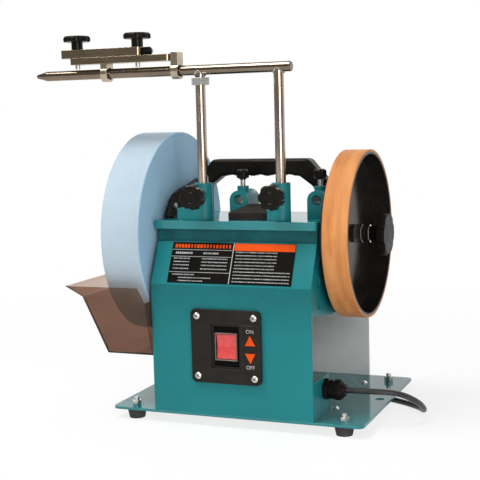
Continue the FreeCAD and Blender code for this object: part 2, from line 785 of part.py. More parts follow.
# Switch plate, switch housing and rocker
half = S.switch_plate_w / 2
plate = round_edges(prism((S.switch_x - half, size(0), S.switch_z - half), "XZ", [
    (0, 0), (S.switch_plate_w, 0), (S.switch_plate_w, S.switch_plate_w), (0, S.switch_plate_w)],
    S.switch_plate_t), ALONG_Y, S.switch_corner)
legend = box((S.switch_x + 20.5, -S.switch_plate_t - 0.6, S.switch_z - S.recess_h / 2), size(20.5), size(1.6),
             S.recess_h)
recess = box((S.switch_x - S.recess_w / 2, -S.switch_plate_t - 5, S.switch_z - S.recess_h / 2), S.recess_w,
             size(5) + S.switch_plate_t - 1.5, S.recess_h)
node("switch_plate", cut(join(plate, legend), recess, housing_hole, *screw_holes))

pivot = (S.switch_x, size(4), S.switch_z)
well = box((S.switch_x - S.rocker_w / 2 - S.slip_gap, size(-5), S.switch_z - S.rocker_h / 2 - 1),
           S.rocker_w + 2 * S.slip_gap, size(19), S.rocker_h + 2)
housing = box((S.switch_x - S.housing_w / 2, size(-1.5), S.switch_z - S.housing_h / 2), S.housing_w,
              S.housing_d, S.housing_h)
pin_hole = rod((S.switch_x - S.rocker_w / 2 - 2.5, pivot[1], pivot[2]), "x", 1.5 + S.run_gap, S.rocker_w + 5)
node("switch_housing", cut(housing, well, pin_hole))
half_h = S.rocker_h / 2
rocker = prism((S.switch_x - S.rocker_w / 2, pivot[1], pivot[2]), "YZ", [
    (-3 - S.rocker_out, -half_h), (-1.4 - S.rocker_out, 0), (-3 - S.rocker_out, half_h), (0, half_h - 0.5),
    (5, half_h * 0.45), (5, half_h * -0.45), (0, 0.5 - half_h)], S.rocker_w)
pin = rod((S.switch_x - S.rocker_w / 2 - 2, pivot[1], pivot[2]), "x", size(1.5), S.rocker_w + 4)
node("rocker", join(rocker, pin))

# Cable gland through the bracket
gland_bore = S.cord_r + S.run_gap
gland_tail = S.gland_len + 8
gland = join(hex_nut((body_right, S.gland_y, S.gland_z), "x", S.gland_af, size(5), gland_bore),
             turned((body_right - 8, S.gland_y, S.gland_z), "x", [
                 (gland_bore, 0), (S.gland_thread_r, 0), (S.gland_thread_r, 8.5), (S.gland_nut_r - 2, 8.5),
                 (S.gland_nut_r - 2, 14), (S.gland_nut_r - 1, 14.5), (S.gland_nut_r - 1, 19),
                 (S.gland_nut_r - 2, 19.5), (S.gland_nut_r - 2, 20.5), (S.gland_nut_r, 21.5),
                 (S.gland_nut_r, 28), (S.gland_nut_r - 4, gland_tail - 2), (S.gland_nut_r - 5, gland_tail),
                 (gland_bore, gland_tail)]))
node("cable_gland", gland)

# Motor lying along X under the spindle, with its roller pressed to the drive wheel
motor_z = S.shaft_z - S.drive_r - S.roller_r - S.slip_gap
motor_end = S.motor_x + S.motor_len
can_in = S.motor_r - S.motor_wall
node("motor_can", tube((S.motor_x, S.shaft_y, motor_z), "x", S.motor_r, can_in, S.motor_len))
cap_bore = S.motor_shaft_r + S.run_gap
cap_points = [(cap_bore, 0), (S.motor_r * 0.8, 0), (S.motor_r, S.cap_t * 0.6), (S.motor_r, S.cap_t),
              (16, S.cap_t), (16, S.cap_t + 8), (cap_bore, S.cap_t + 8)]
node("motor_end_caps", group(turned((S.motor_x - S.cap_t, S.shaft_y, motor_z), "x", cap_points),
                             turned((motor_end + S.cap_t, S.shaft_y, motor_z), "-x", cap_points)))
core_at = (S.stator_x, S.shaft_y, motor_z)
node("stator", tube(core_at, "x", can_in, S.stator_in, S.stator_len))
node("rotor", tube(core_at, "x", S.stator_in - S.air_gap, S.motor_shaft_r, S.stator_len))
shaft_start = S.motor_x - S.cap_t - 2
roller_start = motor_end + S.cap_t + 2 - shaft_start
roller_end = S.hone_x - 0.8 - shaft_start
node("motor_shaft", turned((shaft_start, S.shaft_y, motor_z), "x", [
    (0, 0), (S.motor_shaft_r, 0), (S.motor_shaft_r, roller_start), (S.roller_r, roller_start),
    (S.roller_r, roller_end), (0, roller_end)]))
saddles = [box((x, S.cradle_y, S.base_t), S.saddle_w, S.cradle_d, S.cradle_top - S.base_t)
           for x in (S.cradle_x + 16, S.cradle_x + S.cradle_w - 16 - S.saddle_w)]
cradle = join(box((S.cradle_x, S.cradle_y, S.base_t), S.cradle_w, S.cradle_d, S.cradle_t), *saddles)
motor_room = rod((S.cradle_x - 5, S.shaft_y, motor_z), "x", S.motor_r, S.cradle_w + 10)
cradle_holes = [rod((x, y, size(-5)), "z", S.screw_r + S.run_gap, size(20)) for x, y in CRADLE_BOLTS]
node("motor_cradle", cut(cradle, motor_room, *cradle_holes))
node("capacitor", turned((S.cradle_x, S.base_d - 45, S.base_t + S.capacitor_r), "x", [
    (0, 0), (S.capacitor_r - 2, 0), (S.capacitor_r, 2), (S.capacitor_r, S.capacitor_len - 4),
    (S.capacitor_r - 2, S.capacitor_len), (0, S.capacitor_len)]))

# Spindle with stone, drive wheel and honing wheel


def on_shaft(x, points, axis="x"):
    return turned((x, S.shaft_y, S.shaft_z), axis, points)


def ring_on_shaft(x, outer, length):
    return on_shaft(x, [(S.shaft_r, 0), (outer, 0), (outer, length), (S.shaft_r, length)])


stone_end = S.stone_x + S.stone_w
collar = stone_end + S.flange_t - S.shaft_left
collar_end = S.left_plate_x - S.bush_flange_t - S.tip_gap - S.shaft_left
shaft_len = S.shaft_right - S.shaft_left
node("main_shaft", on_shaft(S.shaft_left, [
    (0, 0), (S.shaft_r - 1, 0), (S.shaft_r, 1), (S.shaft_r, collar), (S.shaft_r + 3, collar),
    (S.shaft_r + 3, collar_end), (S.shaft_r, collar_end), (S.shaft_r, shaft_len - 1),
    (S.shaft_r - 1, shaft_len), (0, shaft_len)]))
bush_bore = S.shaft_r + S.run_gap
bush_end = S.bush_flange_t + S.side_t - S.slip_gap
bush_points = [(bush_bore, 0), (S.bush_flange_r, 0), (S.bush_flange_r, S.bush_flange_t),
               (S.bush_r, S.bush_flange_t), (S.bush_r, bush_end), (bush_bore, bush_end)]
node("shaft_bushes", group(
    on_shaft(S.left_plate_x - S.bush_flange_t, bush_points),
    on_shaft(body_right - S.side_t - S.bush_flange_t, bush_points)))
node("grinding_stone", on_shaft(S.stone_x, [
    (S.shaft_r, 0), (S.stone_r - 1, 0), (S.stone_r, 1), (S.stone_r, S.stone_w - 1),
    (S.stone_r - 1, S.stone_w), (S.shaft_r, S.stone_w)]))
node("stone_flanges", group(ring_on_shaft(S.stone_x - S.flange_t, S.flange_r, S.flange_t),
                            ring_on_shaft(stone_end, S.flange_r, S.flange_t)))
hub_end = S.hone_x + S.hub_len
node("shaft_nuts", group(
    hex_nut((S.stone_x - S.flange_t - S.nut_h, S.shaft_y, S.shaft_z), "x", S.nut_af, S.nut_h, S.shaft_r),
    hex_nut((hub_end, S.shaft_y, S.shaft_z), "x", S.nut_af, S.nut_h, S.shaft_r),
    hex_nut((hub_end + S.nut_h + S.slip_gap, S.shaft_y, S.shaft_z), "x", S.nut_af, S.nut_h, S.shaft_r)))
drive_in = S.drive_r - S.tyre_t
drive_gap = S.hone_x - S.drive_x
node("drive_wheel", on_shaft(S.drive_x, [
    (S.shaft_r, 0), (drive_in, 0), (drive_in, S.drive_w), (S.hub_r, S.drive_w), (S.hub_r, drive_gap),
    (S.shaft_r, drive_gap)]))
node("drive_tyre", tube((S.drive_x, S.shaft_y, S.shaft_z), "x", S.drive_r, drive_in, S.drive_w))
rim = S.hone_r - S.leather_t
rim_in = rim - S.rim_t
web_end = S.web_x + S.web_t
node("honing_drum", on_shaft(S.hone_x, [
    (S.shaft_r, 0), (S.hub_r, 0), (S.hub_r, S.web_x), (rim_in, S.web_x), (rim_in, 0), (rim, 0),
    (rim, S.hone_w), (rim_in, S.hone_w), (rim_in, web_end), (S.hub_r, web_end), (S.hub_r, S.hub_len),
    (S.shaft_r, S.hub_len)]))
node("leather_band", tube((S.hone_x, S.shaft_y, S.shaft_z), "x", S.hone_r, rim, S.hone_w))
knob_start = hub_end + 2 * S.nut_h + 1
knob_hub = (S.hone_knob_end - S.hone_knob_t - knob_start) / 2
hone_knob = star_knob((knob_start, S.shaft_y, S.shaft_z), "x", S.shaft_r + 3, knob_hub, S.shaft_r + 4,
                      knob_hub, S.hone_knob_r, S.hone_knob_t, 6)
knob_bore = rod((knob_start - 5, S.shaft_y, S.shaft_z), "x", S.shaft_r + S.run_gap,
                S.shaft_right - knob_start + 5.5)
node("honing_knob", cut(hone_knob, knob_bore))

# Universal support: long bar with a pointed end on two legs
bar_len = S.bar_right - S.bar_left
node("support_bar", turned((S.bar_left, S.post_y, S.bar_z), "x", [
    (0, 0), (S.bar_tip_r, 0), (S.bar_r, S.bar_taper), (S.bar_r, bar_len - 1), (S.bar_r - 1, bar_len),
    (0, bar_len)]))
bar_room = rod((POSTS[0] - S.post_pitch / 2, S.post_y, S.bar_z), "x", S.bar_r, 2 * S.post_pitch)
legs = [rod((x, S.post_y, S.post_low), "z", S.post_r, S.bar_z - 3 - S.post_low) for x in POSTS]
node("support_legs", cut(group(*legs), bar_room))
node("adjust_nut", hex_nut((POSTS[0], S.post_y, S.bar_z - S.adjust_drop - S.adjust_h), "z", S.adjust_af,
                           S.adjust_h, S.post_r + S.run_gap))

# Clamping jig hanging on the bar
HOOKS = [S.hook_left, S.hook_right]
node("jig_liners", group(*[tube((x, S.post_y, S.bar_z), "x", S.liner_r, S.bar_r + S.run_gap, S.hook_w)
                           for x in HOOKS]))
low_z = S.bar_z + S.jig_low_z
low_top = low_z + S.jig_low_h


def hook(x, top):
    strap = join(rod((x, S.post_y, S.bar_z), "x", S.hook_r, S.hook_w),
                 box((x, S.post_y - S.hook_r + 2, S.bar_z), S.hook_w, 2 * S.hook_r - 4, top - S.bar_z))
    return cut(strap, rod((x - 5, S.post_y, S.bar_z), "x", S.liner_r + S.run_gap, S.hook_w + 10))


node("jig_hooks", group(hook(S.hook_left, low_z), hook(S.hook_right, low_top + 2)))
STUDS = [S.jig_knob_left, S.jig_knob_right]
stud_holes = [rod((x, S.post_y, S.bar_z), "z", S.screw_r + S.run_gap, size(60)) for x in STUDS]


def flat_bar(left, right, low, height):
    return round_edges(prism((left, S.post_y - S.jig_d / 2, low), "XY", [
        (0, 0), (right - left, 0), (right - left, S.jig_d), (0, S.jig_d)], height), ALONG_Z, size(5))


node("jig_lower_bar", cut(flat_bar(S.jig_low_left, S.jig_low_right, low_z, S.jig_low_h), *stud_holes))
node("jig_upper_bar", cut(flat_bar(S.jig_up_left, S.jig_up_right, low_top, S.jig_up_h), *stud_holes))
stud_tip = low_z - 5
stud_len = 5 + S.jig_low_h + S.jig_up_h + S.slip_gap
for name, x in (("jig_knob_left", S.jig_knob_left), ("jig_knob_right", S.jig_knob_right)):
    node(name, star_knob((x, S.post_y, stud_tip), "z", S.screw_r, stud_len, S.jig_hub_r, S.jig_hub_t,
                         S.jig_knob_r, S.jig_knob_t, 6))
node("jig_end_cap", turned((S.jig_up_right, S.post_y, low_top + S.jig_up_h / 2), "x", [
    (0, 0), (S.cap_r, 0), (S.cap_r, S.cap_len - 2), (S.cap_r - 2, S.cap_len), (0, S.cap_len)]))

# Water trough with a flared lip, and the rail that holds it


def tub(inset, floor, rise):
    """Loft through the trough's three levels, drawn in by the wall thickness for the inside."""
    body = new_body((size(0), size(0), size(0)))
    levels = [(S.trough_low_x, S.trough_low_y, S.trough_back_low, S.trough_low_z + floor),
              (S.trough_kink_x, S.trough_kink_y, S.trough_back_kink, S.trough_kink_z),
              (S.trough_lip_x, S.trough_lip_y, S.trough_back_lip, S.trough_lip_z + rise)]
    sketches = []
    for left, near, far, height in levels:
        sketch = new_sketch(body, "XY", height)
        polygon(sketch, [(left + inset, near + inset), (S.trough_wall_x - inset, near + inset),
                         (S.trough_wall_x - inset, far - inset), (left + inset, far - inset)])
        sketches.append(sketch)
    for low, high in zip(sketches, sketches[1:]):
        loft = body.newObject("PartDesign::AdditiveLoft", "loft")
        loft.Profile = low
        loft.Sections = [high]
        loft.Ruled = True
    return body


spill = prism((size(0), S.base_d + 50, size(0)), "XZ", [
    (S.trough_wall_x - 9, S.trough_lip_z + 3), (S.trough_wall_x - S.trough_t, S.trough_right_z),
    (S.trough_wall_x + 5, S.trough_right_z), (S.trough_wall_x + 5, S.trough_lip_z + 3)], S.base_d + 150)
shell = cut(tub(size(0), size(0), size(0)), tub(S.trough_t, S.trough_t, size(0.5)), spill)
flange_x = S.body_x + S.rail_lip + S.tip_gap
stem = box((S.trough_wall_x - 1, S.rail_y - S.tongue_w / 2, S.tongue_low), flange_x - S.trough_wall_x + 2,
           S.tongue_w, S.tongue_h)
flange = box((flange_x, S.rail_y - S.tongue_flange / 2, S.tongue_low), S.tongue_t, S.tongue_flange,
             S.tongue_h)
node("water_trough", join(shell, stem, flange))
depth = S.left_plate_x - S.body_x
slot = S.tongue_w / 2 + S.tip_gap
room = S.tongue_flange / 2 + S.tip_gap
half_w = S.rail_w / 2
cavity = S.rail_lip + S.tongue_t + 2 * S.tip_gap
node("trough_rail", prism((S.body_x, S.rail_y, S.rail_low), "XY", [
    (0, -half_w), (depth, -half_w), (depth, half_w), (0, half_w), (0, slot), (S.rail_lip, slot),
    (S.rail_lip, room), (cavity, room), (cavity, -room), (S.rail_lip, -room), (S.rail_lip, -slot),
    (0, -slot)], S.rail_top - S.rail_low))

# Power cord: out of the gland, over the plate's edge, back under the plate to a coil on the floor behind
floor = -S.foot_h.value
lie = floor + S.cord_r.value + 0.3
coil_low = floor + S.cord_r.value + S.coil_lift.value
gland_tip = (body_right + S.gland_len).value
coil_side = S.coil_y.value - S.coil_turn_r.value
plate_edge = S.base_w.value
CORD_ROUTE = [
    (gland_tip, S.gland_y.value, S.gland_z.value), (plate_edge - 4, 45, 32.5), (plate_edge + 28, 56, 30),
    (plate_edge + 46, 80, 14), (plate_edge + 46, 110, -4), (plate_edge + 32, 140, lie),
    (plate_edge + 2, 162, lie), (plate_edge - 40, 178, lie), (plate_edge - 76, 206, lie),
    (plate_edge - 104, 247, lie), (178, 288, coil_low), (S.coil_x.value, coil_side, coil_low)]


def row_point(x, y, z):
    return FreeCAD.Vector(x - MID_X.value, y - MID_Y.value, z + S.foot_h.value)


def tangent_wire(places):
    """Straight runs joined by tangent arcs."""
    edges = []
    at = places[0]
    for before, corner, after in zip(places, places[1:], places[2:]):
        run_in = corner - before
        run_out = after - corner
        half_turn = run_in.getAngle(run_out) / 2
        reach = 0.45 * min(run_in.Length, run_out.Length)
        radius = reach / math.tan(half_turn)
        start = corner - run_in.normalize() * reach
        stop = corner + run_out.normalize() * reach
        inward = (stop - corner) + (start - corner)
        centre = corner + inward.normalize() * (radius / math.cos(half_turn))
        middle = centre + (corner - centre).normalize() * radius
        edges.append(Part.LineSegment(at, start).toShape())
        edges.append(Part.Arc(start, middle, stop).toShape())
        print("cord turn %.0f deg, radius %.1f mm" % (math.degrees(2 * half_turn), radius))
        at = stop
    edges.append(Part.LineSegment(at, places[-1]).toShape())
    return Part.Wire(edges)


def round_tube(path, start, way, radius):
    ring = Part.Wire([Part.Circle(start, way, radius).toShape()])
    return path.makePipeShell([ring], True, False)


def half_turn(start, radius, way):
    """Half circle in the floor plane, from the coil's near side to its far side or back."""
    side = FreeCAD.Vector(-way * radius, way * radius, 0)
    stop = start + FreeCAD.Vector(0, 2 * way * radius, 0)
    return Part.Arc(start, start + side, stop).toShape(), stop


def shape_node(name, shape):
    thing = doc.addObject("Part::Feature", name)
    thing.Shape = shape
    return node(name, thing)


route = [row_point(*p) for p in CORD_ROUTE]
cord_path = tangent_wire(route)
cord = round_tube(cord_path, route[0], route[1] - route[0], S.cord_r.value)
shape_node("power_cord", cord)

step = (2 * S.cord_r + S.coil_gap).value
radii = [S.coil_turn_r.value - step / 2 * i for i in range(5)]
coil_start = row_point(S.coil_x.value, coil_side, coil_low)
at = coil_start - ALONG_X * (2 * S.cord_r.value)
edges = [Part.LineSegment(coil_start, at).toShape()]
for i, radius in enumerate(radii):
    edge, at = half_turn(at, radius, 1 if i % 2 == 0 else -1)
    edges.append(edge)
inner = radii[-1] - step / 2
climb = []
for i in range(13):
    share = i / 12
    rise = step * (3 * share ** 2 - 2 * share ** 3)
    turn = math.pi * share
    climb.append(at + FreeCAD.Vector(inner * math.sin(turn), inner * (math.cos(turn) - 1), rise))
curve = Part.BSplineCurve()
pace = [math.pi * inner * i / 12 for i in range(13)]
curve.interpolate(Points=climb, Parameters=pace, InitialTangent=ALONG_X, FinalTangent=-ALONG_X, Scale=False)
edges.append(curve.toShape())
at = climb[-1]
for i, radius in enumerate(reversed(radii)):
    edge, at = half_turn(at, radius, 1 if i % 2 == 0 else -1)
    edges.append(edge)
coil_end = at + ALONG_X * (2 * S.cord_r.value)
edges.append(Part.LineSegment(at, coil_end).toShape())
coil_path = Part.Wire(edges)
coil = round_tube(coil_path, coil_start, -ALONG_X, S.cord_r.value)
shape_node("cord_coil", coil)
dots = [p for edge in edges for p in edge.discretize(Distance=1.0)]
apart = int(4 * math.pi * S.cord_r.value)
nearest = min((a - b).Length for i, a in enumerate(dots) for b in dots[i + apart:])
print("least gap of the coil to itself %.2f mm" % (nearest - 2 * S.cord_r.value))
for label_text, path, solid in (("cord", cord_path, cord), ("coil", coil_path, coil)):
    print("%s length %.1f mm, volume ratio %.4f" % (
        label_text, path.Length, solid.Volume / (path.Length * math.pi * S.cord_r.value ** 2)))

# Tie round the coil's bundle, and the plug at the cord's end
slack = S.tie_slack.value
bundle = radii[0] - radii[-1] + 2 * S.cord_r.value
tie_low = coil_start.z - S.cord_r.value - slack
tie_left = coil_start.x - 2 * S.cord_r.value - radii[0] - S.cord_r.value - slack
tie_room = FreeCAD.Vector(bundle + 6 * slack, S.tie_w.value, step + 2 * S.cord_r.value + 2 * slack)
tie_t = S.tie_t.value
tie_y = coil_start.y + radii[0] + step / 2 - tie_room.y / 2
hole = Part.makeBox(tie_room.x, tie_room.y, tie_room.z, FreeCAD.Vector(tie_left, tie_y, tie_low))
band = Part.makeBox(tie_room.x + 2 * tie_t, tie_room.y, tie_room.z + 2 * tie_t,
                    FreeCAD.Vector(tie_left - tie_t, tie_y, tie_low - tie_t))
shape_node("cord_tie", band.cut(hole))
plug_h = 2 * (coil_end.z - 0.3)
grip = Part.makeBox(S.plug_len.value, S.plug_w.value, plug_h,
                    coil_end + FreeCAD.Vector(S.relief_len.value, -S.plug_w.value / 2, -plug_h / 2))
grip = grip.makeFillet(4, [e for e in grip.Edges if abs(e.tangentAt(e.FirstParameter).x) > 0.9])
relief = Part.makeCone(S.cord_r.value + 0.3, S.cord_r.value + 3, S.relief_len.value + 0.5, coil_end, ALONG_X)
pins = [Part.makeCylinder(S.pin_r.value, S.pin_len.value + 1,
                          coil_end + FreeCAD.Vector(S.relief_len.value + S.plug_len.value - 1,
                                                    i * S.pin_pitch.value / 2, 0), ALONG_X)
        for i in (-1, 1)]
shape_node("plug", grip.fuse([relief] + pins).removeSplitter())

doc.recompute()
bad = [thing.Name for thing in doc.Objects if "Invalid" in thing.State or "Error" in thing.State]
if bad:
    raise RuntimeError("features that failed: " + ", ".join(bad))
for thing in NODES:
    shape = thing.Shape
    if shape.isNull() or not shape.isValid() or not shape.Solids:
        raise RuntimeError("piece without a valid solid: " + thing.Label)
for thing in NODES:
    thing.Shape.exportStep("parts/%s.step" % thing.Label)
    print("%-20s solids %d volume %.1f" % (thing.Label, len(thing.Shape.Solids), thing.Shape.Volume))
whole = FreeCAD.BoundBox()
for thing in NODES:
    if thing.Label not in ("power_cord", "cord_coil", "cord_tie", "plug"):
        whole.add(thing.Shape.BoundBox)
print(len(NODES), "nodes; box without the cord", whole)
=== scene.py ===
# %% [markdown]
# # Wet grinding sharpener
# A bench machine for edge tools. A slow blue stone turns in a water trough on the left, a leather covered
# wheel for honing turns on the right, and a folded steel box between them holds the motor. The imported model
# gives every rigid piece at its true size, so this lesson only has to dress it: finishes, small fittings,
# the printed plates and the power cord.

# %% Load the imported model
import bmesh
import bpy
import math
from mathutils import Matrix, Vector


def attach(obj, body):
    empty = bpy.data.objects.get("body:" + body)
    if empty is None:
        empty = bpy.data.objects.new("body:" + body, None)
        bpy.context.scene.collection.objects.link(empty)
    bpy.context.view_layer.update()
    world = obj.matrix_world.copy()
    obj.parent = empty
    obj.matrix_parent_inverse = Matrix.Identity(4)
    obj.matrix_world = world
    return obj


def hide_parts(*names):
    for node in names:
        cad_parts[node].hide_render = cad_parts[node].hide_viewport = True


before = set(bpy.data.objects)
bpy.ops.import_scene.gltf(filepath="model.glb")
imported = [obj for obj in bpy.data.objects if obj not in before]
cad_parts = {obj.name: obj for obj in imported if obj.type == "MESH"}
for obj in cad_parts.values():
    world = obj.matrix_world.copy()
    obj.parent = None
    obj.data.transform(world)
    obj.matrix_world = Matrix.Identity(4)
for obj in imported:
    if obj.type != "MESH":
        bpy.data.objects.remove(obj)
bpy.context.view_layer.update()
scene = bpy.context.scene
scene.view_settings.view_transform = "Standard"
print("packed pieces:", len(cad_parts))


# The model's zero point, and places that several cells share, in mm from the base plate's front left corner
ZERO = (106.5, 109.5, -12)
POST_X, POST_Y = (114, 212), 36
THUMB_X, THUMB_Y = (148, 246), 78
SPINDLE_Y, SPINDLE_Z = 110, 208
SWITCH_X, SWITCH_Z = 154, 85.5
SLOPE_FOOT, SLOPE_RISE, SLOPE_DEPTH = 156, 49, 24
SLOPE_TOP = SLOPE_FOOT + SLOPE_RISE
BAR_Z = 406


def bench_point(x, y, z):
    """A place in mm from the base plate's front left corner, as a place in the model's frame in metres."""
    return Vector([(place - zero) / 1000 for place, zero in zip((x, y, z), ZERO)])


def bench_height(z):
    return bench_point(0, 0, z).z


# %% [markdown]
# ## Camera
# The picture is taken from the front right, a little above the lid, with a long lens that keeps the box
# nearly square. A long lens is a narrow view from far away. The camera leans by a degree and a half, as the
# base plate's front edge shows.

# %% Camera at the picture's place
AZIMUTH, ELEVATION, LEAN = math.radians(22.17), math.radians(6.56), math.radians(-1.5)
CAMERA_SPOT = bench_point(644.65, -1154.22, 352.82)
ahead = Vector((-math.sin(AZIMUTH) * math.cos(ELEVATION), math.cos(AZIMUTH) * math.cos(ELEVATION),
                -math.sin(ELEVATION)))
across = Vector((math.cos(AZIMUTH), math.sin(AZIMUTH), 0))
upward = across.cross(ahead)
lean_across = across * math.cos(LEAN) + upward * math.sin(LEAN)
lean_upward = upward * math.cos(LEAN) - across * math.sin(LEAN)
camera = bpy.data.objects.new("camera", bpy.data.cameras.new("camera"))
camera.data.sensor_width = 36
camera.data.lens = 82.38
camera.data.shift_x = -0.0008
camera.data.shift_y = 0.0019
turn = Matrix((lean_across, lean_upward, -ahead)).transposed()
camera.matrix_world = Matrix.Translation(CAMERA_SPOT) @ turn.to_4x4()
scene.collection.objects.link(camera)
scene.camera = camera
print("camera lens", camera.data.lens, "mm")

# %% [markdown]
# ## Finishes: small helpers
# Every surface below is made of shader nodes on Object coordinates, so its grain has a true size in metres.
# These helpers keep each finish short: one makes a material, others add a noise, a colour ramp, a bump, and
# the rounded edge that pressed and moulded parts have.


# %% Helpers for node materials
def new_finish(name, rough=0.5, metal=0.0):
    material = bpy.data.materials.new(name)
    material.use_nodes = True
    tree = material.node_tree
    shader = tree.nodes["Principled BSDF"]
    shader.inputs["Roughness"].default_value = rough
    shader.inputs["Metallic"].default_value = metal
    place = tree.nodes.new("ShaderNodeTexCoord").outputs["Object"]
    return material, tree, shader, place


def noise(tree, place, scale, detail=3.0, stretch=(1, 1, 1)):
    mapping = tree.nodes.new("ShaderNodeMapping")
    mapping.inputs["Scale"].default_value = stretch
    tree.links.new(place, mapping.inputs["Vector"])
    cloud = tree.nodes.new("ShaderNodeTexNoise")
    cloud.inputs["Scale"].default_value = scale
    cloud.inputs["Detail"].default_value = detail
    tree.links.new(mapping.outputs["Vector"], cloud.inputs["Vector"])
    return cloud.outputs["Fac"]


def ramp(tree, value, stops):
    node = tree.nodes.new("ShaderNodeValToRGB")
    elements = node.color_ramp.elements
    while len(elements) < len(stops):
        elements.new(0.5)
    for element, (position, tint) in zip(elements, stops):
        element.position = position
        element.color = (*tint, 1)
    tree.links.new(value, node.inputs["Fac"])
    return node.outputs["Color"]


def spread(tree, value, low, high, start=0.3, stop=0.7):
    node = tree.nodes.new("ShaderNodeMapRange")
    for label, number in (("From Min", start), ("From Max", stop), ("To Min", low), ("To Max", high)):
        node.inputs[label].default_value = number
    tree.links.new(value, node.inputs["Value"])
    return node.outputs["Result"]


def sums(tree, how, a, b=None):
    node = tree.nodes.new("ShaderNodeMath")
    node.operation = how
    for socket, item in zip(node.inputs, (a, b)):
        if isinstance(item, (int, float)):
            socket.default_value = item
        elif item is not None:
            tree.links.new(item, socket)
    return node.outputs["Value"]


def mix(tree, share, a, b):
    node = tree.nodes.new("ShaderNodeMix")
    node.data_type = "RGBA"
    tree.links.new(share, node.inputs[0])
    for socket, item in ((node.inputs[6], a), (node.inputs[7], b)):
        if isinstance(item, tuple):
            socket.default_value = (*item, 1)
        else:
            tree.links.new(item, socket)
    return node.outputs[2]


def rounded(tree, radius):
    """Normals that turn softly over an edge, and a mask that is 1 on the edge itself."""
    soft = tree.nodes.new("ShaderNodeBevel")
    soft.samples = 6
    soft.inputs["Radius"].default_value = radius
    flat = tree.nodes.new("ShaderNodeNewGeometry").outputs["True Normal"]
    dot = tree.nodes.new("ShaderNodeVectorMath")
    dot.operation = "DOT_PRODUCT"
    tree.links.new(soft.outputs["Normal"], dot.inputs[0])
    tree.links.new(flat, dot.inputs[1])
    edge = spread(tree, dot.outputs["Value"], 1.0, 0.0, 0.70, 0.99)
    return soft.outputs["Normal"], edge


def bump(tree, shader, height, distance, normal=None, strength=1.0):
    node = tree.nodes.new("ShaderNodeBump")
    node.inputs["Strength"].default_value = strength
    node.inputs["Distance"].default_value = distance
    tree.links.new(height, node.inputs["Height"])
    if normal is not None:
        tree.links.new(normal, node.inputs["Normal"])
    tree.links.new(node.outputs["Normal"], shader.inputs["Normal"])


def colour(tree, shader, value):
    tree.links.new(value, shader.inputs["Base Color"])


def roughness(tree, shader, value):
    tree.links.new(value, shader.inputs["Roughness"])


def parts_of(tree, vector):
    node = tree.nodes.new("ShaderNodeSeparateXYZ")
    tree.links.new(vector, node.inputs["Vector"])
    return node.outputs


def dress(material, *names):
    """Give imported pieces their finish."""
    for name in names:
        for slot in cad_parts[name].material_slots:
            slot.material = material
    print(material.name, "on", ", ".join(names))


# %% [markdown]
# ## Power cord
# A round black mains lead leaves the gland at the right, bends over the plate's edge and goes back under the
# plate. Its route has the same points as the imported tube. They are the control points of one NURBS line,
# which bends smoothly between them as a stiff rubber lead does. The rest of the lead is wound up behind the
# box, in two layers of turns that lie beside and on each other.

# %% Cord route and coil
CORD_RADIUS = 0.0035
route = [bench_point(*p) for p in (
    (284, 44, 32), (312, 45, 32.5), (344, 56, 30), (362, 80, 14), (362, 110, -4), (348, 140, -8.2),
    (318, 162, -8.2), (276, 178, -8.2), (240, 206, -8.2), (212, 247, -8.2), (178, 288, -7), (120, 288, -7))]
TURN_STEP, WIDEST_TURN, HALF_TURNS = 0.0078, 0.047, 5
turn_sizes = [WIDEST_TURN - TURN_STEP / 2 * i for i in range(HALF_TURNS)]
STRAIGHT_END = Vector((0.007, 0, 0))
PER_HALF = 8
corner_out = 1 / math.cos(math.pi / 2 / PER_HALF)


def half_turn(start, radius, way, rise=0.0):
    """Control points round half a turn of the coil, and where it ends."""
    points = []
    for k in range(PER_HALF):
        share = (k + 0.5) / PER_HALF
        angle = math.pi * share
        up = rise * (3 * share ** 2 - 2 * share ** 3)
        points.append(start + Vector((-way * radius * math.sin(angle) * corner_out,
                                      way * radius * (1 - math.cos(angle) * corner_out), up)))
    return points, start + Vector((0, 2 * way * radius, rise))


at = route[-1] - STRAIGHT_END
turns = []
ways = [(-1) ** i for i in range(HALF_TURNS)]
for radius, way in zip(turn_sizes, ways):
    points, at = half_turn(at, radius, way)
    turns += points
points, at = half_turn(at, turn_sizes[-1] - TURN_STEP / 2, -1, TURN_STEP)
turns += points
for radius, way in zip(reversed(turn_sizes), ways):
    points, at = half_turn(at, radius, way)
    turns += points
ends = [at, at + STRAIGHT_END]

cord_line = bpy.data.curves.new("mains_lead", "CURVE")
cord_line.dimensions = "3D"
spline = cord_line.splines.new("NURBS")
controls = route + turns + ends
spline.points.add(len(controls) - 1)
for point, control in zip(spline.points, controls):
    point.co = (*control, 1)
spline.order_u = 3
spline.use_endpoint_u = True
spline.resolution_u = 8
cord_line.bevel_depth = CORD_RADIUS
cord_line.bevel_resolution = 4
cord_line.use_fill_caps = True
cord = bpy.data.objects.new("mains_lead", cord_line)
scene.collection.objects.link(cord)
print("cord control points:", len(controls))

# %% [markdown]
# The lead's sheath is black rubber with a soft shine. Its fine bloom is a noise in the roughness, and a
# slight bump keeps the highlight from being a perfect line.

# %% Cord sheath
sheath, tree, shader, place = new_finish("cord_sheath", 0.42)
dust = noise(tree, place, 90, 4)
colour(tree, shader, ramp(tree, dust, [(0.3, (0.012, 0.012, 0.013)), (0.8, (0.035, 0.034, 0.033))]))
roughness(tree, shader, spread(tree, dust, 0.34, 0.55))
bump(tree, shader, noise(tree, place, 900, 2), 0.0001)
cord_line.materials.append(sheath)
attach(cord, "frame")
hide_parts("power_cord", "cord_coil")
dress(sheath, "plug")

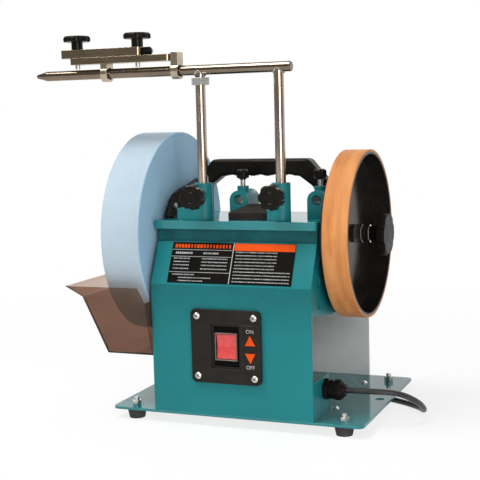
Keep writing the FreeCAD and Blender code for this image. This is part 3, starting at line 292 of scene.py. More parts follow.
# %% [markdown]
# ## Enamel on folded steel
# The box, base plate, lid and sleeves are stove enamelled in blue green. Enamel has a faint orange peel, which
# is a bump some millimetres wide, and is thin and paler where the steel is folded. The level sheets are
# glossier than the upright ones, which hands and cloths have dulled. On the front the paint is darkened
# towards the fold and just under the lid. That is painted shade, where the fold and the lid's overhang shade
# the panel. The inside of the back panel is left in bare grey steel, so that piece picks its colour by which
# way a face looks.

# %% Blue green enamel
ENAMEL = (0.010, 0.185, 0.198)
THIN, THICK = (tuple(share * c for c in ENAMEL) for share in (0.92, 1.08))


def enamel(name, rough, shine, inside_axis=None, shade_under_folds=False):
    material, tree, shader, place = new_finish(name, rough)
    soft, edge = rounded(tree, 0.0012)
    tone = ramp(tree, noise(tree, place, 9, 2), [(0.25, THIN), (0.75, THICK)])
    patchy = spread(tree, noise(tree, place, 160, 5), 0.0, 0.5, 0.35, 0.8)
    worn = sums(tree, "MULTIPLY", edge, patchy)
    tone = mix(tree, worn, tone, (0.08, 0.33, 0.34))
    # Painted shade: the front panel's paint is darkened towards the fold and just under the lid, where shade
    # falls.
    if shade_under_folds:
        height = parts_of(tree, place)[2]
        lowest, fold = bench_height(100), bench_height(SLOPE_FOOT)
        shade_towards_fold = spread(tree, height, 0.0, 0.36, lowest, fold - 0.0005)
        ends_at_fold = spread(tree, height, 1.0, 0.0, fold, fold + 0.0006)
        under_fold = sums(tree, "MULTIPLY", shade_towards_fold, ends_at_fold)
        neck = bench_height(SLOPE_TOP)
        under_lid = spread(tree, height, 0.0, 0.7, neck - 0.001, neck + 0.001)
        painted_shade = sums(tree, "MAXIMUM", under_fold, under_lid)
        uneven_shade = spread(tree, noise(tree, place, 45, 4), 0.75, 1.15)
        tone = mix(tree, sums(tree, "MULTIPLY", painted_shade, uneven_shade), tone, (0.003, 0.045, 0.050))
    if inside_axis is not None:
        facing = parts_of(tree, tree.nodes["Texture Coordinate"].outputs["Normal"])[inside_axis]
        within = spread(tree, facing, 1.0, 0.0, -0.2, -0.1)
        cloud = noise(tree, place, 60, 5)
        bare = ramp(tree, cloud, [(0.3, (0.86, 0.86, 0.85)), (0.7, (0.92, 0.92, 0.91))])
        tone = mix(tree, within, tone, bare)
        tree.links.new(sums(tree, "MULTIPLY", within, 0.3), shader.inputs["Metallic"])
    colour(tree, shader, tone)
    roughness(tree, shader, spread(tree, noise(tree, place, 35, 4), rough * 0.8, rough * 1.25))
    shader.inputs["Specular IOR Level"].default_value = shine
    bump(tree, shader, noise(tree, place, 420, 2), 0.00012, soft, 0.35)
    return material


DULL, GLOSSY = 0.34, 0.045
dress(enamel("upright_enamel", DULL, 0.28), "left_side_plate", "right_side_plate", "cord_bracket",
      "post_sleeve_left", "post_sleeve_right", "cross_sleeves")
dress(enamel("front_enamel", DULL, 0.19, shade_under_folds=True), "front_shell")
dress(enamel("level_enamel", GLOSSY, 0.5), "base_plate", "top_plate")
dress(enamel("enamel_on_bare_steel", DULL, 0.28, inside_axis=1), "back_shell")

# %% [markdown]
# ## Stone
# A blue grit stone is pale and quite matt. Its grain is tiny: a fine noise gives light and dark specks, a
# coarse one gives damp patches, and the bump is two tenths of a millimetre. The sides are given a bluer tone
# than the rim, which is painted shade colour for the blue cast of the shaded sides. So the colour is picked by
# which way a face looks.

# %% Blue grit
grit, tree, shader, place = new_finish("blue_grit", 0.85)
shader.inputs["Specular IOR Level"].default_value = 0.3
specks = noise(tree, place, 1500, 2)
patches = noise(tree, place, 14, 3)
rim = ramp(tree, patches, [(0.3, (0.38, 0.485, 0.555)), (0.7, (0.44, 0.545, 0.615))])
# Painted shade colour: the sides take a bluer tone than the rim, for the blue cast of shade on the side faces.
side = ramp(tree, patches, [(0.3, (0.35, 0.59, 0.785)), (0.7, (0.40, 0.645, 0.84))])
facing = parts_of(tree, tree.nodes["Texture Coordinate"].outputs["Normal"])[0]
sideways = sums(tree, "ABSOLUTE", facing)
tone_with_painted_side_shade = mix(tree, spread(tree, sideways, 0.0, 1.0, 0.4, 0.8), rim, side)
light_specks = mix(tree, spread(tree, specks, 0.0, 0.45, 0.5, 0.72), tone_with_painted_side_shade, (0.66, 0.74, 0.80))
dark_specks = spread(tree, specks, 0.30, 0.0, 0.30, 0.46)
colour(tree, shader, mix(tree, dark_specks, light_specks, (0.20, 0.31, 0.41)))
bump(tree, shader, specks, 0.0002, rounded(tree, 0.001)[0], 0.7)
dress(grit, "grinding_stone")

# %% [markdown]
# ## Leather band
# The honing wheel wears a strip of tan leather, grain side in. Its face has broad soft clouds drawn out round
# the wheel and a fine nap. The clouds follow the wheel because the pattern is read in polar form: the angle
# round the spindle, whose jump is at the back, and the place across the band.

# %% Tan leather
SPINDLE = bench_point(0, SPINDLE_Y, SPINDLE_Z)
hide, tree, shader, place = new_finish("tan_hide", 0.7)
shift = tree.nodes.new("ShaderNodeMapping")
shift.inputs["Location"].default_value = (0, -SPINDLE.y, -SPINDLE.z)
tree.links.new(place, shift.inputs["Vector"])
x, y, z = parts_of(tree, shift.outputs["Vector"])[:3]
below, before = (sums(tree, "MULTIPLY", part, -1) for part in (z, y))
angle = sums(tree, "ARCTAN2", below, before)
squares = [sums(tree, "MULTIPLY", part, part) for part in (y, z)]
reach = sums(tree, "SQRT", sums(tree, "ADD", *squares))
polar = tree.nodes.new("ShaderNodeCombineXYZ")
tree.links.new(sums(tree, "MULTIPLY", x, 8.0), polar.inputs["X"])
tree.links.new(sums(tree, "MULTIPLY", angle, 0.1), polar.inputs["Y"])
tree.links.new(sums(tree, "MULTIPLY", reach, 3.0), polar.inputs["Z"])
streaks = noise(tree, polar.outputs["Vector"], 16, 5)
blotches = noise(tree, place, 34, 5)
nap = noise(tree, place, 1100, 3)
TAN_TONES = [(0.34, (0.52, 0.185, 0.052)), (0.5, (0.61, 0.245, 0.074)), (0.66, (0.67, 0.30, 0.103))]
tone = ramp(tree, streaks, TAN_TONES)
fibre = spread(tree, nap, 0.0, 0.22, 0.45, 0.75)
tone = mix(tree, fibre, tone, (0.42, 0.15, 0.045))
stained = spread(tree, blotches, 0.0, 0.40, 0.48, 0.70)
colour(tree, shader, mix(tree, stained, tone, (0.47, 0.15, 0.035)))
roughness(tree, shader, spread(tree, streaks, 0.55, 0.8))
shader.inputs["Specular IOR Level"].default_value = 0.25
shader.inputs["Sheen Weight"].default_value = 0.05
bump(tree, shader, nap, 0.00025, rounded(tree, 0.0008)[0], 0.6)
dress(hide, "leather_band")

# %% [markdown]
# ## Bright steel
# The support bar and its legs are plated rod: mirror-like, a little brown in the reflections, with fine
# drawing lines along the rod. A stretched noise gives such lines; each rod needs it stretched its own way.


# %% Plated rod, zinc and satin steel
def steel(name, tint, rough, stretch, grain=1600, depth=0.00003):
    material, tree, shader, place = new_finish(name, rough, 1.0)
    lines = noise(tree, place, grain, 3, stretch)
    smoke = noise(tree, place, 40, 4)
    dark = tuple(0.78 * c for c in tint)
    colour(tree, shader, ramp(tree, smoke, [(0.3, dark), (0.7, tint)]))
    roughness(tree, shader, spread(tree, lines, rough * 0.75, rough * 1.35))
    bump(tree, shader, lines, depth, rounded(tree, 0.0006)[0], 0.5)
    return material


ANY_WAY = (1, 1, 1)
STEELS = [
    # The bar's plating is tinted much darker than the legs': a painted reflection of dark surroundings on the
    # same plated rod.
    ("plated_bar", (0.24, 0.19, 0.14), 0.12, (0.02, 1, 1), 1600, 0.000015, ["support_bar"]),
    ("plated_legs", (0.53, 0.43, 0.34), 0.12, (1, 1, 0.02), 1600, 0.000015, ["support_legs"]),
    ("turned_steel", (0.62, 0.61, 0.59), 0.22, (1, 0.03, 0.03), 1600, 0.00003,
     ["main_shaft", "motor_shaft", "stone_flanges"]),
    ("bright_nuts", (0.88, 0.87, 0.85), 0.14, (0.03, 1, 1), 1600, 0.00003, ["shaft_nuts"]),
    ("zinc_plate", (0.74, 0.74, 0.70), 0.33, ANY_WAY, 500, 0.00006,
     ["foot_bolts", "foot_nuts", "m6_bolts", "pan_screws", "adjust_nut", "trough_rail", "motor_cradle"]),
    ("jig_plate", (0.35, 0.27, 0.175), 0.2, (0.03, 1, 1), 1600, 0.00001,
     ["jig_lower_bar", "jig_upper_bar"]),
    ("jig_hook_plate", (0.56, 0.46, 0.34), 0.24, (1, 1, 0.1), 1600, 0.00001, ["jig_hooks"]),
    ("sintered_bronze", (0.50, 0.33, 0.15), 0.45, ANY_WAY, 900, 0.00008, ["shaft_bushes"]),
    ("cast_alloy", (0.60, 0.60, 0.60), 0.5, ANY_WAY, 300, 0.0002, ["motor_end_caps"]),
    ("core_sheets", (0.22, 0.22, 0.23), 0.5, (1, 0.02, 0.02), 2600, 0.0001, ["stator", "rotor"])]
for name, tint, rough, stretch, grain, depth, pieces in STEELS:
    dress(steel(name, tint, rough, stretch, grain, depth), *pieces)


# %% [markdown]
# ## Black mouldings
# Knobs, handle, gland and plates are black plastic. Moulded plastic has a fine spark texture from the tool
# and is polished where hands rub, so the bump is fine and the roughness drifts. A hand knob also has a round
# groove in its face: a ring read from the distance to the knob's axis lowers the surface there. An upright
# knob's stud is bright steel below a given height.

# %% Black plastic
def black(name, rough, tone=0.005, texture=2200, depth=0.00005, ring=None, shine=0.13, edge_radius=0.001,
          stud_top=None, edge_wear_and_highlight=0.35):
    material, tree, shader, place = new_finish(name, rough)
    shader.inputs["Specular IOR Level"].default_value = shine
    shader.inputs["Specular Tint"].default_value = (1.0, 0.88, 0.76, 1)
    soft, edge = rounded(tree, edge_radius)
    haze = noise(tree, place, 55, 5)
    deep = tuple(tone * c for c in (1.05, 0.95, 0.85))
    dull = tuple(tone * c for c in (2.2, 1.95, 1.7))
    plain = ramp(tree, haze, [(0.3, deep), (0.75, dull)])
    # Edges go towards a lighter brown grey: partly rubbed wear, partly a painted edge highlight.
    edge_wear_and_highlight_share = sums(tree, "MULTIPLY", edge, edge_wear_and_highlight)
    surface = mix(tree, edge_wear_and_highlight_share, plain, (0.045, 0.040, 0.035))
    if stud_top is not None:
        height = parts_of(tree, place)[2]
        on_stud = spread(tree, height, 1.0, 0.0, stud_top - 0.0002, stud_top + 0.0002)
        tree.links.new(on_stud, shader.inputs["Metallic"])
        surface = mix(tree, on_stud, surface, (0.66, 0.62, 0.57))
    colour(tree, shader, surface)
    roughness(tree, shader, spread(tree, haze, rough * 0.8, rough * 1.3))
    height = noise(tree, place, texture, 2)
    if ring is not None:
        centre, axis, size = ring
        shift = tree.nodes.new("ShaderNodeVectorMath")
        shift.operation = "SUBTRACT"
        shift.inputs[1].default_value = centre
        tree.links.new(place, shift.inputs[0])
        around = [p for i, p in enumerate(parts_of(tree, shift.outputs["Vector"])[:3]) if i != axis]
        reach = sums(tree, "SQRT", sums(tree, "ADD", *[sums(tree, "MULTIPLY", p, p) for p in around]))
        off = sums(tree, "ABSOLUTE", sums(tree, "SUBTRACT", reach, size))
        groove = spread(tree, off, 0.0, 1.0, 0.0003, 0.0009)
        height = sums(tree, "ADD", sums(tree, "MULTIPLY", height, 0.06), groove)
        depth = 0.0008
    bump(tree, shader, height, depth, soft, 0.8)
    return material


dress(black("moulded_black", 0.38, shine=0.11), "carry_handle", "cable_gland", "splash_guard",
      "jig_liners", "cord_tie")
# The switch plate's edges are lightened at full share: a painted highlight line along its edges and recess.
dress(black("plate_black", 0.38, 0.008, 1500, shine=0.22, edge_wear_and_highlight=1.0), "switch_plate")
drum_black = black("gloss_black", 0.14, 0.009, 700, 0.00002, shine=0.09, edge_radius=0.0008)
# The drum's reflections are tinted warm brown: a painted reflection colour for warm surroundings the web
# mirrors.
drum_shader = drum_black.node_tree.nodes["Principled BSDF"]
drum_shader.inputs["Specular Tint"].default_value = (1.0, 0.80, 0.62, 1)
dress(drum_black, "honing_drum")
dress(black("print_black", 0.4, 0.0025, 1800, 0.00002, shine=0.06), "label_plates")
dress(black("pad_black", 0.7, 0.016, 900, 0.00015), "tool_pad")
THUMB_STUD, JIG_STUD = bench_height(274.9), bench_height(436.2)
KNOB_Z, JIG_KNOB_X = 259, (-49.5, 33)
ALONG_X, ALONG_Y, ALONG_Z = 0, 1, 2
KNOBS = [("honing_knob", (0, SPINDLE_Y, SPINDLE_Z), ALONG_X, 0.0105, None)]
for i, side in enumerate(("left", "right")):
    KNOBS += [("sleeve_knob_" + side, (POST_X[i], 0, KNOB_Z), ALONG_Y, 0.0062, None),
              ("cross_knob_" + side, (THUMB_X[i], THUMB_Y, 0), ALONG_Z, 0.0036, THUMB_STUD),
              ("jig_knob_" + side, (JIG_KNOB_X[i], POST_Y, 0), ALONG_Z, 0.0068, JIG_STUD)]
for knob, centre, axis, size, stud in KNOBS:
    ring = (bench_point(*centre), axis, size)
    shine = 0.04 if axis == ALONG_X else 0.16
    dress(black(knob + "_black", 0.27, ring=ring, shine=shine, stud_top=stud), knob)
dress(black("cap_black", 0.5), "jig_end_cap")

# %% [markdown]
# ## Rubber, red rocker and grey plastics
# Feet and tyre are dull rubber, dusty at the bottom. The rocker is clear red plastic, so it takes a little
# light in. The parts inside the box are plain grey plastics and satin motor paint.

# %% Rubber and coloured plastics
rubber, tree, shader, place = new_finish("dull_rubber", 0.75)
dust = noise(tree, place, 120, 5)
low = spread(tree, parts_of(tree, place)[2], 0.6, 0.0, 0.0, 0.012)
plain = ramp(tree, dust, [(0.35, (0.012, 0.012, 0.012)), (0.75, (0.03, 0.03, 0.029))])
colour(tree, shader, mix(tree, sums(tree, "MULTIPLY", low, dust), plain, (0.10, 0.095, 0.09)))
bump(tree, shader, noise(tree, place, 800, 3), 0.0002, rounded(tree, 0.001)[0])
dress(rubber, "rubber_feet", "drive_tyre")

red, tree, shader, place = new_finish("rocker_red", 0.28)
haze = noise(tree, place, 260, 4)
colour(tree, shader, ramp(tree, haze, [(0.3, (0.62, 0.035, 0.035)), (0.75, (0.72, 0.075, 0.07))]))
shader.inputs["Subsurface Weight"].default_value = 0.25
shader.inputs["Subsurface Radius"].default_value = (0.006, 0.001, 0.001)
shader.inputs["Coat Weight"].default_value = 0.5
bump(tree, shader, noise(tree, place, 1200, 2), 0.00004, rounded(tree, 0.0008)[0])
dress(red, "rocker")


def moulded(name, light, rough, shine=0.4):
    material, tree, shader, place = new_finish(name, rough)
    shader.inputs["Specular IOR Level"].default_value = shine
    haze = noise(tree, place, 70, 5)
    colour(tree, shader, ramp(tree, haze, [(0.3, tuple(0.85 * c for c in light)), (0.7, light)]))
    roughness(tree, shader, spread(tree, haze, rough * 0.85, rough * 1.2))
    bump(tree, shader, noise(tree, place, 1600, 2), 0.00006, rounded(tree, 0.0008)[0])
    return material


dress(moulded("wheel_grey", (0.30, 0.30, 0.31), 0.5), "drive_wheel")
dress(moulded("housing_black", (0.004, 0.0036, 0.0032), 0.45, 0.04), "switch_housing")
dress(moulded("capacitor_grey", (0.42, 0.43, 0.44), 0.35), "capacitor")
dress(moulded("motor_paint", (0.05, 0.05, 0.055), 0.4), "motor_can")

# %% [markdown]
# ## Water trough
# The trough is smoky brown see-through plastic. Light goes through it and is tinted at each wall, so two
# walls look darker than one. A faint lime haze from dried water makes it less clear.

# %% Smoky plastic
smoky, tree, shader, place = new_finish("smoky_plastic", 0.08)
lime = noise(tree, place, 30, 5)
colour(tree, shader, ramp(tree, lime, [(0.3, (0.40, 0.262, 0.198)), (0.75, (0.46, 0.31, 0.237))]))
roughness(tree, shader, spread(tree, lime, 0.05, 0.12))
shader.inputs["Transmission Weight"].default_value = 0.96
shader.inputs["IOR"].default_value = 1.3
bump(tree, shader, noise(tree, place, 60, 2), 0.00003, rounded(tree, 0.001)[0], 0.3)
dress(smoky, "water_trough")

# %% [markdown]
# ## Small repeated fittings with Geometry Nodes
# Threads are rows of equal ridges, and screw heads all carry the same cross. Geometry Nodes place such
# copies from a list of points: the maker object's own vertices are the points, the tree builds one copy,
# puts it on each and makes the copies real. The result is turned into a plain mesh.


# %% Helpers for node trees
def new_tree(name, inputs):
    tree = bpy.data.node_groups.new(name, "GeometryNodeTree")
    tree.interface.new_socket("Geometry", in_out="INPUT", socket_type="NodeSocketGeometry")
    for label, kind, value in inputs:
        socket = tree.interface.new_socket(label, in_out="INPUT", socket_type="NodeSocket" + kind)
        if value is not None:
            socket.default_value = value
    tree.interface.new_socket("Geometry", in_out="OUTPUT", socket_type="NodeSocketGeometry")
    return tree, tree.nodes.new("NodeGroupInput").outputs, tree.nodes.new("NodeGroupOutput")


def add(tree, kind, **links):
    node = tree.nodes.new(kind)
    for label, item in links.items():
        socket = node.inputs[label.replace("_", " ")]
        if isinstance(item, bpy.types.NodeSocket):
            tree.links.new(item, socket)
        else:
            socket.default_value = item
    return node


def close_tree(tree, given, out, copies):
    real = add(tree, "GeometryNodeRealizeInstances", Geometry=copies)
    painted = add(tree, "GeometryNodeSetMaterial", Geometry=real.outputs["Geometry"],
                  Material=given["Material"])
    tree.links.new(painted.outputs["Geometry"], out.inputs["Geometry"])


def make_copies(tree, name, places, body, values):
    """Run a tree on a list of points and keep the result as a plain piece on a body."""
    dots = bpy.data.meshes.new(name + "_dots")
    dots.from_pydata([tuple(p) for p in places], [], [])
    maker = bpy.data.objects.new(name + "_maker", dots)
    scene.collection.objects.link(maker)
    modifier = maker.modifiers.new("copies", "NODES")
    modifier.node_group = tree
    for item in tree.interface.items_tree:
        if item.in_out == "INPUT" and item.name in values:
            modifier[item.identifier] = values[item.name]
    grown = maker.evaluated_get(bpy.context.evaluated_depsgraph_get())
    piece = bpy.data.objects.new(name, bpy.data.meshes.new_from_object(grown))
    piece.data.name = name
    maker.modifiers.remove(modifier)
    bpy.data.objects.remove(maker)
    scene.collection.objects.link(piece)
    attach(piece, body)
    print(name, len(piece.data.polygons), "faces")


def keep_mesh(name, bm, material, body):
    """Keep a hand-built mesh as a piece on a body."""
    bmesh.ops.recalc_face_normals(bm, faces=bm.faces)
    mesh = bpy.data.meshes.new(name)
    bm.to_mesh(mesh)
    bm.free()
    mesh.materials.append(material)
    piece = bpy.data.objects.new(name, mesh)
    scene.collection.objects.link(piece)
    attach(piece, body)
    print(name, len(mesh.polygons), "faces")
    return piece


# %% [markdown]
# A screw thread seen from a step away is a stack of sharp rings one pitch apart. One ring is a small circle
# swept round a larger one; a mesh line gives the stack, and the stack goes on each point.

# %% Thread rings
ring_tree, given, out = new_tree("thread_rings", [
    ("Rings", "Int", 10), ("Pitch", "Float", 0.001), ("Radius", "Float", 0.003), ("Crest", "Float", 0.0003),
    ("Material", "Material", None)])
hoop = add(ring_tree, "GeometryNodeCurvePrimitiveCircle", Resolution=28, Radius=given["Radius"])
section = add(ring_tree, "GeometryNodeCurvePrimitiveCircle", Resolution=5, Radius=given["Crest"])
swept = add(ring_tree, "GeometryNodeCurveToMesh", Curve=hoop.outputs["Curve"],
            Profile_Curve=section.outputs["Curve"])
rise = add(ring_tree, "ShaderNodeCombineXYZ", Z=given["Pitch"])
column = add(ring_tree, "GeometryNodeMeshLine", Count=given["Rings"], Offset=rise.outputs["Vector"])
stack = add(ring_tree, "GeometryNodeInstanceOnPoints", Points=column.outputs["Mesh"],
            Instance=swept.outputs["Mesh"])
spots = add(ring_tree, "GeometryNodeMeshToPoints", Mesh=given["Geometry"])
stacks = add(ring_tree, "GeometryNodeInstanceOnPoints", Points=spots.outputs["Points"],
             Instance=stack.outputs["Instances"])
close_tree(ring_tree, given, out, stacks.outputs["Instances"])

thread_steel = steel("thread_steel", (0.50, 0.46, 0.41), 0.3, ANY_WAY)


def thread(name, places, body, rings, pitch, radius):
    make_copies(ring_tree, name, places, body,
                {"Rings": rings, "Pitch": pitch, "Radius": radius, "Material": thread_steel})


LEG_THREAD_Z, FOOT_THREAD_Z, THUMB_THREAD_Z = 346, 9.5, 267.4
M12_CORE, M6_CORE = 0.0058, 0.0028
foot_tops = [bench_point(x, y, FOOT_THREAD_Z) for x in (26, 290) for y in (15, 216)]
thread("leg_thread", [bench_point(POST_X[0], POST_Y, LEG_THREAD_Z)], "support",
       34, 0.0015, M12_CORE)
thread("foot_threads", foot_tops, "frame", 4, 0.001, M6_CORE)
for side, x in zip(("left", "right"), THUMB_X):
    thread("thumb_thread_" + side, [bench_point(x, THUMB_Y, THUMB_THREAD_Z)], "thumb_" + side,
           9, 0.0009, M6_CORE)

# %% [markdown]
# The screws have a cross recess. Two thin dark bars set just into each head stand for it: their dark colour is
# painted shade for the hollow. The same tree serves every screw that faces the same way.

# %% Cross recesses
cross_tree, given, out = new_tree("cross_recess", [
    ("Length", "Float", 0.0038), ("Width", "Float", 0.0009), ("Turn", "Vector", None),
    ("Material", "Material", None)])
long_way = add(cross_tree, "ShaderNodeCombineXYZ", X=given["Length"], Y=given["Width"], Z=0.0003)
short_way = add(cross_tree, "ShaderNodeCombineXYZ", X=given["Width"], Y=given["Length"], Z=0.00028)
both = cross_tree.nodes.new("GeometryNodeJoinGeometry")
for way in (long_way, short_way):
    bar = add(cross_tree, "GeometryNodeMeshCube", Size=way.outputs["Vector"])
    cross_tree.links.new(bar.outputs["Mesh"], both.inputs["Geometry"])
spots = add(cross_tree, "GeometryNodeMeshToPoints", Mesh=given["Geometry"])
turned = add(cross_tree, "FunctionNodeEulerToRotation", Euler=given["Turn"])
crosses = add(cross_tree, "GeometryNodeInstanceOnPoints", Points=spots.outputs["Points"],
              Instance=both.outputs["Geometry"], Rotation=turned.outputs["Rotation"])
close_tree(cross_tree, given, out, crosses.outputs["Instances"])

# Painted shade: a dark steel for the bars that stand in for the shaded hollow of each recess.
shadow_steel = steel("recess_shade_steel", (0.10, 0.10, 0.10), 0.5, ANY_WAY)
SCREW_OUT, SCREW_FACE = 35.5, -6.4
plate_screws = [bench_point(SWITCH_X + i * SCREW_OUT, SCREW_FACE, SWITCH_Z + k * SCREW_OUT)
                for i in (-1, 1) for k in (-1, 1)]
make_copies(cross_tree, "plate_screw_crosses", plate_screws, "frame",
            {"Turn": (math.radians(90), math.radians(20), 0), "Material": shadow_steel})

# %% [markdown]
# Two small pan screws sit in the right part of the base plate. A pan head is a low cone with a smaller one on
# top, so the tree stacks two cones on each point.

# %% Base plate screws
head_tree, given, out = new_tree("pan_heads", [
    ("Radius", "Float", 0.0044), ("Height", "Float", 0.0014), ("Material", "Material", None)])
SHOULDER = 0.8
shoulder = sums(head_tree, "MULTIPLY", given["Radius"], SHOULDER)
low_part = add(head_tree, "GeometryNodeMeshCone", Vertices=24, Radius_Top=shoulder,
               Radius_Bottom=given["Radius"], Depth=given["Height"])
top_part = add(head_tree, "GeometryNodeMeshCone", Vertices=24, Radius_Top=0.0012,
               Radius_Bottom=shoulder, Depth=given["Height"])
lift = add(head_tree, "ShaderNodeCombineXYZ", Z=given["Height"])
raised = add(head_tree, "GeometryNodeTransform", Geometry=top_part.outputs["Mesh"],
             Translation=lift.outputs["Vector"])
head = head_tree.nodes.new("GeometryNodeJoinGeometry")
head_tree.links.new(low_part.outputs["Mesh"], head.inputs["Geometry"])
head_tree.links.new(raised.outputs["Geometry"], head.inputs["Geometry"])
spots = add(head_tree, "GeometryNodeMeshToPoints", Mesh=given["Geometry"])
heads = add(head_tree, "GeometryNodeInstanceOnPoints", Points=spots.outputs["Points"],
            Instance=head.outputs["Geometry"])
close_tree(head_tree, given, out, heads.outputs["Instances"])

screw_zinc = steel("screw_zinc", (0.80, 0.80, 0.78), 0.3, ANY_WAY, 500, 0.00004)
base_screws = [(264, 66), (262.8, 196)]
PLATE_TOP, HEAD_TOP = 3, 5.1
make_copies(head_tree, "base_screw_heads", [bench_point(x, y, PLATE_TOP) for x, y in base_screws],
            "frame", {"Material": screw_zinc})
make_copies(cross_tree, "base_screw_crosses", [bench_point(x, y, HEAD_TOP) for x, y in base_screws],
            "frame",
            {"Turn": (0, 0, math.radians(35)), "Length": 0.0034, "Material": shadow_steel})

# %% [markdown]
# ## Printed plates
# The slanted panel carries two black plates. They are kept plain: a bar of orange, thin pale rules and rows
# of dashes. Each print is a strip a fifth of a millimetre thick on the plate's face. A tree lays rows of equal
# strips down the slope, so one line of numbers makes every rule.

# %% Rule rows on the slanted panel
SLOPE_TURN = math.atan2(SLOPE_DEPTH, SLOPE_RISE)
PRINT_LIFT, PRINT_THICK = 0.85, 0.0002
row_tree, given, out = new_tree("rule_rows", [
    ("Rows", "Int", 1), ("Pitch", "Float", 0.005), ("Width", "Float", 0.05), ("Height", "Float", 0.0005),
    ("Turn", "Vector", None), ("Material", "Material", None)])
strip_size = add(row_tree, "ShaderNodeCombineXYZ", X=given["Width"], Y=PRINT_THICK, Z=given["Height"])
strip = add(row_tree, "GeometryNodeMeshCube", Size=strip_size.outputs["Vector"])
down = add(row_tree, "ShaderNodeCombineXYZ", Z=sums(row_tree, "MULTIPLY", given["Pitch"], -1))
line = add(row_tree, "GeometryNodeMeshLine", Count=given["Rows"], Offset=down.outputs["Vector"])
rows = add(row_tree, "GeometryNodeInstanceOnPoints", Points=line.outputs["Mesh"],
           Instance=strip.outputs["Mesh"])
spots = add(row_tree, "GeometryNodeMeshToPoints", Mesh=given["Geometry"])
turned = add(row_tree, "FunctionNodeEulerToRotation", Euler=given["Turn"])
blocks = add(row_tree, "GeometryNodeInstanceOnPoints", Points=spots.outputs["Points"],
             Instance=rows.outputs["Instances"], Rotation=turned.outputs["Rotation"])
close_tree(row_tree, given, out, blocks.outputs["Instances"])


def slope_point(x, share):
    """A point on the printed face: x in mm, share is 0 at the slope's foot and 1 at its top."""
    y = SLOPE_DEPTH * share - PRINT_LIFT * math.cos(SLOPE_TURN)
    return bench_point(x, y, SLOPE_FOOT + SLOPE_RISE * share + PRINT_LIFT * math.sin(SLOPE_TURN))


orange = moulded("orange_ink", (0.80, 0.085, 0.006), 0.5, 0.08)
pale = moulded("pale_ink", (0.60, 0.60, 0.59), 0.5, 0.08)
lean_back = (-SLOPE_TURN, 0, 0)


def rules(name, middle, share, rows, pitch, width, height, ink):
    """Equal strips below each other, all sizes in mm, the first at a share of the slope."""
    make_copies(row_tree, name, [slope_point(middle, share)], "frame",
                {"Rows": rows, "Pitch": pitch / 1000, "Width": width / 1000, "Height": height / 1000,
                 "Turn": lean_back, "Material": ink})


rules("plate_divider", 157.5, 0.51, 1, 1, 0.9, 50, pale)
rules("plate_rules", 118, 0.80, 2, 8.4, 77, 0.5, pale)
rules("plate_low_rule", 118, 0.29, 1, 1, 77, 0.5, pale)
rules("plate_header_band", 196.2, 0.88, 1, 1, 75, 9.0, orange)

# %% [markdown]
# The plates' fine print is only hinted at: rows of little dashes of uneven length, with nothing to read. The
# tree puts a dash on every point it is given and draws its length from a seeded random value, so the rows
# differ from each other but come out the same each time.

# %% Rows of dashes
dash_tree, given, out = new_tree("dash_rows", [
    ("Width", "Float", 0.002), ("Height", "Float", 0.001), ("Seed", "Int", 1), ("Turn", "Vector", None),
    ("Material", "Material", None)])
dash_size = add(dash_tree, "ShaderNodeCombineXYZ", X=given["Width"], Y=PRINT_THICK, Z=given["Height"])
dash = add(dash_tree, "GeometryNodeMeshCube", Size=dash_size.outputs["Vector"])
chance = dash_tree.nodes.new("FunctionNodeRandomValue")
chance.data_type = "FLOAT"
SHORTEST, LONGEST = 0.45, 1.0
chance.inputs[2].default_value = SHORTEST
chance.inputs[3].default_value = LONGEST
dash_tree.links.new(given["Seed"], chance.inputs["Seed"])
length = add(dash_tree, "ShaderNodeCombineXYZ", X=chance.outputs[1], Y=1.0, Z=1.0)
spots = add(dash_tree, "GeometryNodeMeshToPoints", Mesh=given["Geometry"])
turned = add(dash_tree, "FunctionNodeEulerToRotation", Euler=given["Turn"])
dashes = add(dash_tree, "GeometryNodeInstanceOnPoints", Points=spots.outputs["Points"],
             Instance=dash.outputs["Mesh"], Rotation=turned.outputs["Rotation"],
             Scale=length.outputs["Vector"])
close_tree(dash_tree, given, out, dashes.outputs["Instances"])


def dash_rows(name, rows, step, height, seed, ink):
    """Rows of (left, right, share) in mm and shares of the slope, with a dash at every step."""
    places = []
    for left, right, share in rows:
        count = int((right - left) / step)
        places += [slope_point(left + step * (i + 0.5), share) for i in range(count)]
    make_copies(dash_tree, name, places, "frame",
                {"Width": 0.8 * step / 1000, "Height": height / 1000, "Seed": seed, "Turn": lean_back,
                 "Material": ink})


dash_rows("title_dashes", [(82, 155, 0.885)], 4.05, 4.6, 3, orange)
dash_rows("name_dashes", [(84, 108, 0.725), (120, 140, 0.725)], 2.5, 2.2, 5, pale)
dash_rows("value_dashes", [(left, right, share) for share in (0.60, 0.525, 0.45, 0.37)
                           for left, right in ((83, 104), (119, 153))], 2.1, 1.25, 7, pale)
dash_rows("foot_dashes", [(84, 114, 0.235), (92, 134, 0.165), (92, 126, 0.095)], 1.9, 1.15, 11, pale)
dash_rows("line_dashes", [(161, right, 0.765 - 0.073 * i) for i, right in enumerate(
    (214, 214, 213, 213, 212, 212, 231, 231, 232, 232))], 2.0, 1.15, 13, pale)

# %% [markdown]
# Beside the rocker is a raised strip with two orange arrow heads and the words for on and off. The arrow heads
# are flat shapes, so a few vertices each are enough, and the words are text turned into a mesh.

# %% Switch marks
LEGEND_Y, HALF_THICK = -4.65, 0.1


def flat_shape(name, outlines, material):
    bm = bmesh.new()
    for outline in outlines:
        near = [bm.verts.new(bench_point(x, LEGEND_Y - HALF_THICK, z)) for x, z in outline]
        far = [bm.verts.new(bench_point(x, LEGEND_Y + HALF_THICK, z)) for x, z in outline]
        bm.faces.new(near)
        bm.faces.new(far)
        for i in range(len(outline)):
            k = (i + 1) % len(outline)
            bm.faces.new((near[i], near[k], far[k], far[i]))
    keep_mesh(name, bm, material, "frame")


